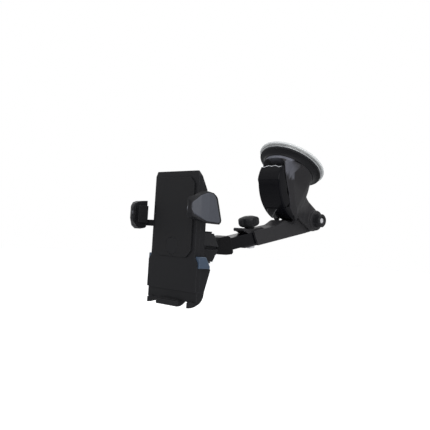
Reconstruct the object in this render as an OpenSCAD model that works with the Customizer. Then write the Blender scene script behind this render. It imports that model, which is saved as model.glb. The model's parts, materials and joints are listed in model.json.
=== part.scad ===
// Suction cup phone holder: a gel suction base with a cam lever, a sliding arm and a sprung clamp cradle.
// Millimetres. The origin is the middle of the suction face, -Y is the front, +Z is up.

/* [Suction cup] */
// Tilt of the suction face's normal from straight up, in degrees
glass_tilt = 30; // [0:1:60]
// Radius of the gel pad
pad_r = 32; // [30:0.5:40]
// Thickness of the gel pad
pad_t = 4.2; // [3.6:0.1:6]
// Radius of the hard cup that backs the pad
cup_r = 30; // [27:0.5:34]
// Height of the hard cup
cup_t = 5.8; // [4:0.1:9]
// Radius where the housing stands on the cup
rim_r = 24.2; // [22:0.2:27]
// Radius of the pull stem
stem_r = 3; // [2:0.1:4]
// Stroke of the pull stem
stem_stroke = 2; // [1:0.1:2.2]

/* [Lever base] */
// Width of the upright column
column_w = 32; // [30:0.5:38]
// Width of the leg that carries the arm
leg_w = 24; // [23:0.5:28]
// Distance from the cup's axis back to the arm hinge
hinge_back = 48; // [44:0.5:56]
// Height of the arm hinge off the glass
hinge_h = 34; // [32:0.5:38]
// Radius of the leg's round end
leg_end_r = 10.5; // [9:0.1:11]
// Width of the suction lever
lever_w = 26; // [22:0.5:27]
// Distance from the cup's axis forward to the lever's lip
lever_reach = 21.6; // [20:0.1:24]
// Height of the fixed cover's top off the glass
crown_h = 52.6; // [50.5:0.1:54.5]
// Share of the crown's height at which the lever's pin stands
lever_pin_share = 0.8213; // [0.812:0.0005:0.826]
// Radius of the lever pin
lever_pin_r = 1.5; // [1:0.1:2]
// Radius of the lever's cam where it stands on the deck
cam_r = 6; // [5.5:0.1:6.2]
// Opening angle of the lever, in degrees
lever_open = 80; // [60:5:90]

/* [Hinge] */
// Radius of the hinge bolt
bolt_r = 2.5; // [2:0.1:3]
// Radius of the hinge knob
hinge_knob_r = 6.25; // [5.5:0.25:8]
// Height of the hinge knob
hinge_knob_h = 6.5; // [5:0.5:10]
// Radius of the arm's hub
hub_r = 10; // [9:0.1:10.2]

/* [Arm] */
// Slope of the arm down to the front, in degrees
arm_pitch = 12; // [0:1:30]
// Share of the way from the hinge to the ball that the outer arm takes
outer_share = 0.543; // [0.52:0.005:0.56]
// Length of the outer arm's tongues past its mouth
tongue_len = 14.5; // [13:0.5:16]
// Outer width of the outer arm
outer_w = 17.2; // [16:0.1:17.6]
// Outer height of the outer arm
outer_h = 13.4; // [12:0.1:15]
// Wall of the outer arm
outer_wall = 1.4; // [1:0.1:1.8]
// Distance of the outer arm's middle below the hinge
arm_drop = 3.8; // [3.3:0.1:4.3]
// Radius of the clamp knob
clamp_knob_r = 9.4; // [8:0.1:10]
// Height of the clamp knob
clamp_knob_h = 10.6; // [9:0.2:12]
// Radius of the clamp screw
clamp_screw_r = 2; // [1.5:0.1:2.5]
// Distance the inner arm slides out
slide_out = 40; // [20:1:42]
// Distance the inner arm slides in
slide_in = 10; // [5:1:10]

/* [Ball joint] */
// Distance along the arm from the hinge to the ball
ball_reach = 145.4; // [142:0.2:150]
// Height of the ball over the arm's line through the hinge
ball_rise = -0.3; // [-2:0.1:1]
// Radius of the ball
ball_r = 8; // [7.5:0.1:8.3]
// Radius of the ball's neck
neck_r = 3.4; // [2.8:0.1:3.5]
// Thickness of the socket cup and ring
socket_t = 1.8; // [1.4:0.1:2]
// Outer radius of the ball nut
nut_r = 14.4; // [14:0.1:15]
// Length of the ball nut
nut_len = 21.4; // [20:0.2:21.6]

/* [Cradle] */
// Width of the phone that the arms are closed on
phone_w = 67; // [60:0.5:76]
// Thickness of the phone
phone_t = 6.9; // [6:0.1:10]
// Height of the phone
phone_h = 138.1; // [120:1:150]
// Width of the cradle body
cradle_w = 52; // [48:0.5:56]
// Height of the cradle's top over the middle of the phone
cradle_top = 31; // [28:0.5:36]
// Width of the cradle's lower body
chin_w = 58; // [56:0.5:62]
// Distance of the ball's centre behind the phone's middle
ball_back = 30; // [29:0.1:32]
// Distance of the ball's centre under the phone's middle
ball_below = 28; // [26:0.5:30]
// Wall of the cradle's shells
shell_wall = 1.6; // [1.2:0.1:2]

/* [Clamp arms] */
// Height of the clamp rack's line over the phone's middle
rack_z = -1; // [-2:0.5:1]
// Module of the rack and pinion
gear_module = 1; // [0.8:0.05:1.1]
// Number of teeth on the pinion
pinion_teeth = 12; // [12:2:14]
// Distance each arm opens from the closed phone
arm_open = 10.5; // [6:0.5:11]
// Distance each arm closes from the closed phone
arm_close = 6; // [3:0.5:7]
// Thickness of the arms' rubber pads
arm_pad_t = 1.5; // [1:0.1:2]

/* [Foot] */
// Thickness of the foot's claws
claw_t = 4.2; // [3:0.1:5]
// Distance the foot pulls down
foot_travel = 12; // [6:1:14]

/* [Hidden] */
$fn = 64;

// Clearances and overruns
slip = 0.15;
run_gap = 0.05;
face_gap = 0.1;
soft_gap = 0.3;
over = 5;
lap = 1;

// Colours
satin_black = "#1b1c1e";
gloss_black = "#0c0c0e";
charcoal = "#36373b";
panel_grey = "#56575d";
slate = "#4a5566";
gel = "#c9d2d6";
rubber = "#202122";
steel = "#b9bcc0";

// Suction cup: heights are measured off the glass
pad_lip_t = 1.7;
pad_step_r = pad_r - 1.5;
pad_round = 0.7;
plate_t = 1.4;
plate_r = 12;
plate_room = plate_t + stem_stroke + 2 * soft_gap;
cup_edge_t = 1.8;
cup_flare = [[1, 1], [0.3, 0]];
cup_top = pad_t + cup_t;
base_screw_r = 1.3;
base_screw_head_r = 2.6;
base_screw_head_h = 1.8;
base_screw_len = 12;
base_screw_circle_r = 17.5;

// Base housing, in shares of the lever's reach forward and of the crown's height
crown_shares = [[0.768, 0.677], [0.139, 1.027], [-0.926, 0.982]];
crown = [for (p = crown_shares) [p[0] * lever_reach, p[1] * crown_h]];
lip_shares = [[1, 0.4087], [0.985, 0.5], [0.94, 0.585], [0.88, 0.65]];
lip = [for (p = lip_shares) [p[0] * lever_reach, p[1] * crown_h]];
lever_pin_h = lever_pin_share * crown_h;
cover_start = 0.55;
cover_seat_start = 0.66;
lever_end = 0.59;
lever_side_end = 0.37;
crown_steps = 14;
crown_step_down = 0.9;
cheek_fall = 2.2;
column_step_in = 0.2;
cover_t = 3.4;
rib_t = 0.9;
rib_lean = 24;
rib_x = 3.6;
lever_shift = [-1.7, -2.9];
lever_side_t = 1.8;
lever_side_depth = [-2, -4.2];
lever_sweep_r = 7.9;
lever_sweep_gap = 0.4;
cover_sweep_r = lever_sweep_r + lever_sweep_gap;
knuckle_lean = 1;
wave_r = 8;
wave_x = 6.2;
wave_depth = 0.9;
cam_gap = 0.4;
cam_fall = stem_stroke;
cam_steps = 12;
deck_h = lever_pin_h - cam_r - cam_gap;
deck_front = 8.5;
finger_back = 13;
finger_top = 19;
finger_floor = cup_top + 2.8;
finger_corner_r = 7;
pocket_w = lever_w + 2 * soft_gap;
eye_w = 7.8;
eye_wall = 1;
eye_r = stem_r + eye_wall;
knuckle_w = 5.4;
column_lip = 0.9;
column_front = [lever_reach - column_step_in, lever_w / 2 + column_lip];
column_corner = lever_reach / 2;
column_back = rim_r;
column_taper = 18;
leg_start = 31;
leg_under = hinge_h - leg_end_r;
leg_top_h = 46.5;
leg_shoulder_back = 22;
waist_back = 25.5;
flare_h = 12;
rim_t = 1.2;
boss_r = 9.6;
boss_t = 2.8;
clevis_w = 18.2;
arm_rise = glass_tilt + arm_pitch;
washer_t = 0.8;
washer_r = 8;
hub_w = clevis_w - 2 * washer_t - 2 * face_gap;
hub_gap = 0.6;
arm_stop = 6;
bolt_head_r = 5;
bolt_head_t = 2;
knob_ring_h = 1;
knob_hole_chamfer = 0.6;
knob_groove_r = 0.7;
knob_groove_out = 0.3;
bolt_head_face = leg_w / 2 + boss_t;
bolt_head_end = bolt_head_t - bolt_head_face;
knob_face = leg_w / 2 + boss_t + face_gap;
bolt_tip = knob_face + hinge_knob_h - knob_ring_h;
knob_chamfer = 0.8;

// Arm, along its own line from the hinge
arm_top = outer_h / 2 - arm_drop;
mouth_reach = outer_share * ball_reach;
tongue_reach = mouth_reach + tongue_len;
knob_past_mouth = 0.7;
knob_reach = mouth_reach + knob_past_mouth;
hub_blend_reach = 30;
shoulder_shares = [[0, 1], [0.3, 0.8], [0.66, 0.24], [1, 0]];
shoulder = [for (p = shoulder_shares) [p[0] * hub_blend_reach, arm_top + p[1] * (hub_r - arm_top)]];
inner_side_wall = outer_wall + 0.5;
inner_w = outer_w - 2 * (inner_side_wall + slip);
inner_h = outer_h - 2 * outer_wall - 2 * slip;
cavity_start = 12.6;
inner_start = cavity_start + slide_in + lap;
mouth_slant = 4;
tongue_w = 12.4;
tongue_tip_r = 1.5;
tongue_end_t = 3;
plate_rise = 1.6;
plate_back = 13;
plate_front = 5.5;
plate_slope = 4;
bead_rise = 2.4;
wedge_len = 4;
slot_end_gap = 0.3;
knob_neck_r = 4.4;
knob_neck_h = 1.2;
knob_skirt_h = 3.2;
knob_crown = 1.3;
knob_crown_r = 0.45 * clamp_knob_r;
knob_lobes = 6;
knob_lobe_r = 2.6;
knob_lobe_out = 1.3;
knob_turn = 15;
knob_roof = 2.4;
clamp_nut_r = 3.6;
clamp_nut_h = 2.4;
knob_base = arm_top + plate_rise + soft_gap;
screw_bottom = arm_top - outer_h - clamp_nut_h;

// Head block, as places from the ball: back along Y and up along Z
head_w = 14;
head_front = 18.6;
head_len = 18.8;
head_h = 16.4;
head_shares = [[0, -0.3], [0, 0.36], [0.1, 0.53], [0.62, 0.64], [0.76, 0.58], [0.98, -0.08],
    [1, -0.2], [0.92, -0.3], [0.55, -0.34], [0.12, -0.33]];
head_taper = 1.5;
head_grip = 5;
inner_end = ball_reach - head_front - head_len;

// Ball joint
ring_cut_angle = 58;
cup_cut_angle = 114;
socket_r = ball_r + run_gap + socket_t;
boss_wall = 1.5;
boss_out_r = socket_r + run_gap + boss_wall;
nut_lobes = 6;
nut_lobe_r = 2.6;
nut_lobe_out = 1.2;
nut_turn = 0;
nut_chamfer = 1.2;
nut_front_chamfer = 0.6;
nut_front = 9;
lip_r = (socket_r + run_gap) * sin(ring_cut_angle);
lip_at = (socket_r + run_gap) * cos(ring_cut_angle);
tilt_most = 28.1;
neck_mouth_r = (nut_len - nut_front) * tan(tilt_most) + neck_r / cos(tilt_most) + soft_gap;

// Cradle depths, measured back from the phone's middle
pad_gap = 0.55;
pad_face = phone_t / 2 + pad_gap;
face_pad_t = 1.4;
shell_face = pad_face + face_pad_t;
front_shell_t = 4.2;
shell_split = shell_face + front_shell_t;
shell_back = 15;
boss_past = 2.8;
boss_back = ball_back + boss_past;
rack_t = 3.6;
rack_front = shell_face + shell_wall + soft_gap;
cavity_back = shell_back - shell_wall;
cavity_end = cradle_w / 2 - shell_wall;
rack_back_t = 5;
top_chamfer = 5.5;
top_front_chamfer = 1.4;
top_back_drop = 15.5;
back_chamfer = [1.2, 2.6];
chin_step = 2;
top_corner = 2;
chin_shoulder = [20, -45];
chin_top = -38;
chin_corner = -40;
foot_split = -62;
foot_split_back = 14.7;
corner_cut = 4;
dome_r = 17;
dome_back = 19;
shell_screw_r = 1.2;
shell_screw_head_r = 2.2;
shell_screw_head_h = 1.4;
shell_screw_x = 20.5;
shell_screw_top = 14.5;
face_pad_w = 44;
face_pad_top = 26;
face_pad_bottom = -36;
face_pad_round = 5;
axle_r = 1.5;
coil_t = 0.5;
coil_h = 1.6;
coil_turns = 3;
coil_start = 0.8;
coil_pitch = 1.1;
coil_steps = 24;

// Push button on the cradle's face, in line with the ball
button_r = 6.8;
button_travel = 3;
button_flange_r = 8;
button_flange_t = 1.4;
button_gap = 0.2;
button_flange_at = shell_face + shell_wall + button_travel + button_gap;
button_room_back = 17;
button_spring_r = 5;
button_spring_t = 1;

// Release tabs on the cradle's sides
tab_low = -44;
tab_h = 9;
tab_front = 6.6;
tab_back = 13.6;
tab_slope_h = 7;
tab_low_back = 18.2;
tab_root = 20;
tab_out = 1.5;
tab_tip = chin_w / 2 + tab_out;
tab_travel = 2;
shell_screw_bottom = tab_low + tab_h + shell_wall + shell_screw_head_r;

// Rack and pinion
pitch_r = gear_module * pinion_teeth / 2;
tooth_pitch = PI * gear_module;
pressure_angle = 20;
tooth_backlash = 0.2 * gear_module;
rack_tip = 0.7 * gear_module;
rack_root = 1.15 * gear_module;
pinion_tip = 0.85 * gear_module;
pinion_root = 0.95 * gear_module;
rack_line = rack_z + pitch_r;
rack_h = rack_root + rack_back_t;
rack_past = 5.5;
rack_inner = arm_open + rack_past;
rack_teeth_back = ceil(arm_open / tooth_pitch);
rack_teeth_front = ceil(arm_close / tooth_pitch) + 2;
cavity_half_h = pitch_r + rack_h + soft_gap;

// Clamp arm: plan points are out from the phone's side and back from its middle
arm_plan_shares = [[1, 1.08], [0.96, 0.75], [0.82, 0.05], [0.62, -0.45], [0.28, -0.87],
    [0.02, -0.96], [-0.11, -0.9], [-0.08, -0.78], [0.13, -0.43], [0.13, 0.44]];
arm_plan_w = 12.2;
arm_plan_depth = 12;
arm_side_shares = [[-1.04, 0.21], [-0.88, 0.64], [-0.54, 0.87], [-0.06, 1.01], [0.33, 0.95], [0.56, 0.8],
    [0.64, 0.7], [1, -0.36], [0.98, -0.47], [0.86, -0.58], [-0.05, -0.51], [-0.5, -0.44], [-0.8, -0.34],
    [-0.97, -0.1]];
arm_side_h = 15;
arm_plan = [for (p = arm_plan_shares) [phone_w / 2 + p[0] * arm_plan_w, p[1] * arm_plan_depth]];
arm_side = [for (p = arm_side_shares) [p[0] * arm_plan_depth, p[1] * arm_side_h]];
panel_t = 1;
panel_groove = 0.25;
panel_centre = [-0.6, 3.2];
panel_side_shares = [[-0.9, 0.24], [-0.83, 0.58], [-0.5, 0.78], [-0.06, 0.91], [0.28, 0.86], [0.42, 0.7],
    [0.82, -0.4], [0.74, -0.48], [-0.05, -0.41], [-0.45, -0.34], [-0.72, -0.22]];
panel_side = [for (p = panel_side_shares) [p[0] * arm_plan_depth, p[1] * arm_side_h]];
arm_root_front = 4;
arm_root_in = 1.9;
arm_root_out = 6.1;
arm_pad_front = -4.4;
arm_pad_back = 5.4;
arm_pad_low = -4;
arm_pad_high = 10;

// Foot
foot_pad_t = 0.8;
phone_play = 0.25;
claw_top = -(phone_h / 2 + foot_pad_t + phone_play);
claw_tip = 1.4;
prong_half = 13.3;
prong_bevel = 1.6;
foot_wall_front = 7;
claw_half = [[16.6, 15], [16.6, 9], [20.2, 6.6], [21.6, 4.2], [22.8, 2.8], [23.9, 2.4], [25, 3.2],
    [26.8, 6], [29, 11.5], [29, 15]];
claw_pad_half = [[21, 6.9], [22, 5.2], [23.2, 3.8], [23.9, 3.5], [24.6, 4.1], [26, 6.2], [26.2, 6.9]];
tongue_half = 11;
tongue_gap = 0.3;
tongue_t = 2.9;
tongue_front = shell_split + tongue_gap;
tongue_back = tongue_front + tongue_t;
tongue_grip = 4;
tongue_top = foot_split + foot_travel + tongue_grip;
foot_heel = [[14.2, -65.4], [12.6, -68.6], [10, -71.2], [7.4, -73], [4.8, -74]];
foot_edge = 0.7;

// Curves
function bend(p, t) = (1 - t) * (1 - t) * p[0] + 2 * t * (1 - t) * p[1] + t * t * p[2];
function bend_line(p, from, to, steps) = [for (i = [0:steps]) bend(p, from + (to - from) * i / steps)];
function moved(points, step) = [for (p = points) p + step];
function backwards(points) = [for (i = [len(points) - 1:-1:0]) points[i]];
function ray(r, a) = [r * cos(a), r * sin(a)];
function arc(r, from, to, steps) = [for (i = [0:steps]) ray(r, from + (to - from) * i / steps)];

// Frames: each one draws its children where that part of the holder sits
module on_glass() rotate([180 - glass_tilt, 0, 0]) children();
module at_hinge() on_glass() translate([0, -hinge_back, hinge_h]) rotate([glass_tilt - 180, 0, 0]) children();
module along_arm() at_hinge() rotate([-arm_pitch, 0, 180]) children();
module at_ball() along_arm() translate([0, ball_reach, ball_rise]) rotate([arm_pitch, 0, 0]) rotate([0, 0, 180])
    children();
module at_cradle() at_ball() translate([0, -ball_back, ball_below]) children();
module at_pinion() at_cradle() translate([0, 0, rack_z]) children();

// Draws a side outline (distance along Y, height) as a solid centred on X
module along_x(w) rotate([90, 0, 90]) linear_extrude(w, center = true) children();
// Draws a front outline (distance along X, height) from one depth back to another
module along_y(front, back) translate([0, back, 0]) rotate([90, 0, 0]) linear_extrude(back - front) children();
// A round bar along X or along Y
module bar_x(r, from, to) translate([from, 0, 0]) rotate([0, 90, 0]) cylinder(r = r, h = to - from);
module bar_y(r, from, to) translate([0, from, 0]) rotate([-90, 0, 0]) cylinder(r = r, h = to - from);
module both_sides() for (side = [0, 1]) mirror([side, 0, 0]) children();

// Suction cup

module suction_pad() color(gel) on_glass() difference() {
    rotate_extrude($fn = 96) polygon([[0, 0], [pad_r, 0], [pad_r, pad_lip_t],
        [pad_step_r, pad_lip_t + pad_round], [pad_step_r, pad_t], [0, pad_t]]);
    translate([0, 0, pad_t - plate_room]) cylinder(r = plate_r + soft_gap, h = plate_room + over);
    at_base_screws() translate([0, 0, pad_t - soft_gap]) cylinder(r = base_screw_head_r, h = over);
}

module hard_cup() color(satin_black) on_glass() difference() {
    rotate_extrude($fn = 96) polygon(concat(
        [[0, pad_t], [cup_r, pad_t]],
        bend_line([[cup_r, pad_t + cup_edge_t], [rim_r + cup_flare[0][0], pad_t + cup_edge_t + cup_flare[0][1]],
            [rim_r + cup_flare[1][0], cup_top]], 0, 1, 8),
        [[0, cup_top]]));
    translate([0, 0, -over]) cylinder(r = stem_r + run_gap, h = cup_top + 2 * over);
    at_base_screws() base_screw_solid(run_gap);
}

module at_base_screws() for (turn = [30, 150, 270]) rotate(turn)
    translate([base_screw_circle_r, 0, 0]) children();

module base_screw_solid(gap) {
    translate([0, 0, pad_t - gap])
        cylinder(r = base_screw_head_r + gap, h = base_screw_head_h + 2 * gap, $fn = 32);
    translate([0, 0, pad_t]) cylinder(r = base_screw_r + gap, h = base_screw_len + gap, $fn = 32);
}

module base_screws() color(steel) on_glass() at_base_screws() base_screw_solid(0);

module pull_stem() color(steel) on_glass() difference() {
    union() {
        translate([0, 0, pad_t - soft_gap - plate_t]) cylinder(r = plate_r, h = plate_t);
        translate([0, 0, pad_t - soft_gap - plate_t]) cylinder(r = stem_r, h = lever_pin_h - pad_t);
        translate([0, 0, lever_pin_h]) bar_x(eye_r, -eye_w / 2, eye_w / 2);
    }
    translate([0, 0, lever_pin_h]) bar_x(lever_pin_r + run_gap / 2, -eye_w, eye_w);
}

// Base housing

// The cheeks lie under the crown, further down towards the back
function cheek_line(steps) = [for (i = [0:steps])
    bend(crown, i / steps) - [0, crown_step_down + cheek_fall * i / steps]];

module housing_outline() {
    polygon(concat(
        [[-column_back, cup_top], [lever_reach - column_step_in, cup_top]],
        moved(lip, [-column_step_in, -crown_step_down]),
        cheek_line(crown_steps),
        [[-leg_shoulder_back, leg_top_h], [-hinge_back, hinge_h + leg_end_r],
            [-hinge_back, leg_under], [-waist_back, leg_under]]));
    translate([-hinge_back, hinge_h]) circle(r = leg_end_r);
}

module column_plan(back) {
    half = [column_front, [column_w / 2, column_corner], [column_w / 2, -column_taper]];
    tail = back > leg_start ? [[leg_w / 2, -leg_start], [leg_w / 2, -back]] : [[column_w / 2, -back]];
    right = concat(half, tail);
    polygon(concat(right, backwards([for (p = right) [-p[0], p[1]]])));
}

// Room for the lever, its knuckle and the fixed cover, between the housing's cheeks
module pocket_outline() {
    seat = moved(bend_line(crown, cover_seat_start, 1, crown_steps), [0, -cover_t]);
    top = crown_h + over;
    polygon(concat(
        [[lever_reach + over, top], [lever_reach + over, finger_floor], [finger_back, finger_floor],
            [finger_back, finger_top], [deck_front, deck_h], [-cover_sweep_r - face_gap, deck_h],
            [-cover_sweep_r - face_gap, seat[0][1]]],
        [for (p = seat) if (p[0] < -cover_sweep_r - face_gap) p],
        [[crown[2][0] - face_gap, crown[2][1] - cover_t], [crown[2][0] - face_gap, top]]));
}

// The finger recess has round corners towards the cup
module recess_outline() {
    corner = arc(finger_corner_r, 270, 180, 8);
    middle = [finger_corner_r - pocket_w / 2, finger_floor + finger_corner_r];
    half = concat(moved(corner, middle), [[-pocket_w / 2, crown_h + over]]);
    polygon(concat(half, backwards([for (p = half) [-p[0], p[1]]])));
}

// Room for the arm between the leg's cheeks, up to the arm's stop
module clevis_outline() {
    far = hinge_back + over;
    translate([-hinge_back, hinge_h]) {
        circle(r = hub_r + hub_gap);
        translate([-far, -far]) square([far, 2 * far]);
        rotate(arm_rise - arm_stop) polygon(concat(
            [for (p = shoulder) [p[0], -p[1] - hub_gap]],
            [[far, -arm_top - hub_gap], [far, far], [0, far]]));
    }
}

module base_housing() color(charcoal) on_glass() difference() {
    union() {
        intersection() {
            along_x(column_w + over) housing_outline();
            linear_extrude(crown_h + over) column_plan(hinge_back + leg_end_r + over);
        }
        hull() {
            translate([0, 0, cup_top]) cylinder(r = rim_r, h = rim_t, $fn = 48);
            translate([0, 0, cup_top + flare_h]) linear_extrude(rim_t) column_plan(waist_back);
        }
        translate([0, 0, cup_top]) cylinder(r = rim_r, h = rim_t, $fn = 96);
        translate([0, -hinge_back, hinge_h]) both_sides() bar_x(boss_r, clevis_w / 2, leg_w / 2 + boss_t);
    }
    intersection() {
        along_x(pocket_w) pocket_outline();
        along_y(-2 * hinge_back, 2 * hinge_back) recess_outline();
    }
    along_x(clevis_w) clevis_outline();
    translate([0, 0, cup_top - over]) cylinder(r = stem_r + run_gap, h = crown_h);
    at_base_screws() base_screw_solid(run_gap);
    translate([0, -hinge_back, hinge_h]) {
        bar_x(bolt_r + run_gap, -leg_w, leg_w);
        bar_x(bolt_head_r + run_gap, -leg_w / 2 - boss_t - over, bolt_head_end);
    }
}

module cover_outline() difference() {
    polygon(concat(
        bend_line(crown, cover_start, 1, crown_steps),
        moved(backwards(bend_line(crown, cover_seat_start, 1, crown_steps)), [0, -cover_t]),
        [[0, bend(crown, cover_seat_start)[1] - cover_t]]));
    translate([0, lever_pin_h]) circle(r = cover_sweep_r);
}

// Two slanted grip ribs stand on the lower end of the cover
module base_cover() color(gloss_black) on_glass() {
    along_x(lever_w) cover_outline();
    intersection() {
        along_x(lever_w) translate([0, rib_t / 2]) cover_outline();
        linear_extrude(crown_h + over) for (x = [-rib_x, rib_x])
            translate([x, crown[2][0] * 0.62]) rotate(rib_lean) square([rib_t, 9 * rib_t], center = true);
    }
}

// Suction lever

function cam_point(turn) = ray(cam_r - cam_fall * turn / lever_open, -90 - turn);

module cam_outline() {
    polygon(concat([ray(cam_r, -50), ray(cam_r, -70)],
        [for (i = [0:cam_steps]) cam_point(lever_open * i / cam_steps)],
        [ray(cam_r - cam_fall, 180), ray(cam_r - cam_fall, 140), [0, 0]]));
}

module lever_plate_outline() {
    outer = concat(lip, bend_line(crown, 0, lever_end, crown_steps));
    inner = moved(bend_line(crown, 0, lever_end, crown_steps), lever_shift);
    polygon(concat(outer, backwards(inner), [lip[2] + lever_shift, [lip[0][0] + lever_shift[0], lip[0][1]]]));
}

module lever_side_outline() {
    edge = bend_line(crown, 0, lever_side_end, crown_steps);
    polygon(concat(edge, moved(backwards(edge), lever_side_depth)));
}

module suction_lever() color(gloss_black) on_glass() difference() {
    union() {
        along_x(lever_w) lever_plate_outline();
        both_sides() translate([(lever_w - lever_side_t) / 2, 0, 0]) along_x(lever_side_t) lever_side_outline();
        both_sides() translate([eye_w / 2 + face_gap + knuckle_w / 2, 0, 0]) along_x(knuckle_w)
            translate([0, lever_pin_h]) {
                cam_outline();
                circle(r = cam_r - cam_fall);
                polygon([ray(cam_r, -50), ray(cam_r, 0), ray(cam_r - knuckle_lean, 60),
                    ray(cam_r - knuckle_lean, 100), [0, 0]]);
            }
    }
    translate([0, 0, lever_pin_h]) {
        bar_x(lever_pin_r + run_gap, -lever_w, lever_w);
        bar_x(eye_r + soft_gap, -eye_w / 2 - face_gap, eye_w / 2 + face_gap);
    }
    for (x = [-wave_x, wave_x]) translate([x, 0, lip[0][1] + wave_depth - wave_r])
        bar_y(wave_r, finger_back, lever_reach + over);
}

module lever_pin() color(steel) on_glass() translate([0, 0, lever_pin_h])
    bar_x(lever_pin_r, -(eye_w / 2 + face_gap + knuckle_w), eye_w / 2 + face_gap + knuckle_w);

// Hinge

module hinge_bolt() color(steel) at_hinge() {
    bar_x(bolt_r, -bolt_head_face, bolt_tip);
    bar_x(bolt_head_r, -bolt_head_face, bolt_head_end);
}

module friction_washers() color(rubber) at_hinge() both_sides() difference() {
    bar_x(washer_r, clevis_w / 2 - washer_t, clevis_w / 2);
    bar_x(bolt_r + run_gap, 0, clevis_w);
}

module hinge_knob() color(satin_black) at_hinge() difference() {
    translate([knob_face, 0, 0]) rotate([0, 90, 0]) rotate_extrude(convexity = 4) polygon([
        [bolt_r + run_gap, 0], [hinge_knob_r, 0], [hinge_knob_r, hinge_knob_h - knob_chamfer],
        [hinge_knob_r - knob_chamfer, hinge_knob_h], [bolt_r + 2 * knob_hole_chamfer, hinge_knob_h],
        [bolt_r + knob_hole_chamfer, hinge_knob_h - knob_ring_h],
        [bolt_r + run_gap, hinge_knob_h - knob_ring_h]]);
    for (turn = [0:30:330]) rotate([turn, 0, 0]) translate([0, 0, hinge_knob_r + knob_groove_out])
        bar_x(knob_groove_r, knob_face + knob_ring_h, knob_face + hinge_knob_h + over);
}

// Arm

module outer_arm_outline() {
    polygon(concat(shoulder, [[mouth_reach + mouth_slant, arm_top], [mouth_reach, arm_top - outer_h],
        [hub_r / 2, arm_top - outer_h], [0, -hub_r]]));
}

module outer_arm() color(charcoal) along_arm() difference() {
    union() {
        bar_x(hub_r, -hub_w / 2, hub_w / 2);
        along_x(hub_w) outer_arm_outline();
        intersection() {
            along_x(outer_w) outer_arm_outline();
            translate([-outer_w, hub_r + lap, -2 * outer_h])
                cube([2 * outer_w, 2 * mouth_reach, 4 * outer_h]);
        }
        tongues();
    }
    translate([-inner_w / 2 - slip, cavity_start, arm_top - outer_h + outer_wall])
        cube([inner_w + 2 * slip, mouth_reach, inner_h + 2 * slip]);
    bar_x(bolt_r + run_gap, -outer_w, outer_w);
    translate([0, knob_reach, -2 * outer_h]) cylinder(r = clamp_screw_r + run_gap, h = 4 * outer_h);
}

// The upper tongue starts as a plate under the clamp knob and ends in a raised bead
module tongues() {
    flat_top = arm_top + plate_rise;
    bead_at = tongue_reach - tongue_tip_r;
    along_x(tongue_w) polygon([[knob_reach - plate_back, arm_top - outer_wall], [knob_reach - plate_back, arm_top],
        [knob_reach - plate_back + plate_slope, flat_top], [knob_reach + plate_front, flat_top],
        [bead_at, arm_top + bead_rise + tongue_tip_r / 2], [bead_at, arm_top + bead_rise - tongue_tip_r / 2],
        [bead_at - wedge_len, arm_top - outer_wall]]);
    translate([0, bead_at, arm_top + bead_rise]) bar_x(tongue_tip_r, -tongue_w / 2, tongue_w / 2);
    translate([-tongue_w / 2, mouth_reach - over, arm_top - outer_h])
        cube([tongue_w, tongue_len + over - tongue_end_t, outer_wall]);
    translate([0, tongue_reach - tongue_end_t, arm_top - outer_h]) intersection() {
        cylinder(r = tongue_w / 2, h = outer_wall);
        translate([-tongue_w, 0, 0]) cube([2 * tongue_w, tongue_end_t, outer_wall]);
    }
}

module clamp_screw() color(steel) along_arm() translate([0, knob_reach, screw_bottom])
    cylinder(r = clamp_screw_r, h = knob_base + clamp_knob_h - knob_roof - screw_bottom);

module clamp_nut() color(steel) along_arm() translate([0, knob_reach, screw_bottom]) difference() {
    cylinder(r = clamp_nut_r, h = clamp_nut_h, $fn = 6);
    translate([0, 0, -over]) cylinder(r = clamp_screw_r + run_gap, h = clamp_nut_h + 2 * over);
}

module clamp_knob() color(satin_black) along_arm() translate([0, knob_reach, knob_base]) difference() {
    skirt = bend_line([[knob_neck_r, knob_neck_h], [0.9 * clamp_knob_r, knob_neck_h],
        [clamp_knob_r, knob_neck_h + knob_skirt_h]], 0, 1, 6);
    rotate_extrude($fn = 96) polygon(concat([[0, 0], [knob_neck_r, 0]], skirt,
        [[clamp_knob_r, clamp_knob_h - 2 * knob_crown], [clamp_knob_r - knob_crown, clamp_knob_h - knob_crown],
            [knob_crown_r, clamp_knob_h], [0, clamp_knob_h]]));
    for (i = [1:knob_lobes]) rotate(360 * i / knob_lobes - knob_turn)
        translate([clamp_knob_r + knob_lobe_out, 0, knob_neck_h]) cylinder(r = knob_lobe_r, h = clamp_knob_h);
    translate([0, 0, -over]) cylinder(r = clamp_screw_r + run_gap, h = clamp_knob_h - knob_roof + over + slip);
}

module inner_bar() translate([-inner_w / 2, inner_start, arm_top - outer_h + outer_wall + slip])
    cube([inner_w, inner_end + head_grip - inner_start, inner_h]);

module inner_arm() color(gloss_black) along_arm() difference() {
    inner_bar();
    hull() for (y = [knob_reach - slide_out - slot_end_gap, knob_reach + slide_in + slot_end_gap])
        translate([0, y, -2 * outer_h])
            cylinder(r = clamp_screw_r + slot_end_gap, h = 4 * outer_h, $fn = 32);
}

module arm_head() color(satin_black) difference() {
    at_ball() intersection() {
        along_x(head_w) polygon([for (p = head_shares) [head_front + p[0] * head_len, p[1] * head_h]]);
        translate([0, head_front, -head_h]) linear_extrude(2 * head_h) polygon([
            [head_taper - head_w / 2, 0], [head_w / 2 - head_taper, 0], [head_w / 2, 2 * head_taper],
            [head_w / 2, head_len], [-head_w / 2, head_len], [-head_w / 2, 2 * head_taper]]);
    }
    along_arm() inner_bar();
    at_ball() bar_y(neck_r + run_gap / 2, 0, head_front + head_grip);
}

// Ball joint: distances are measured back from the ball's centre

module ball() color(satin_black) at_ball() {
    sphere(r = ball_r, $fn = 96);
    bar_y(neck_r, 0, head_front + head_grip);
}

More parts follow.
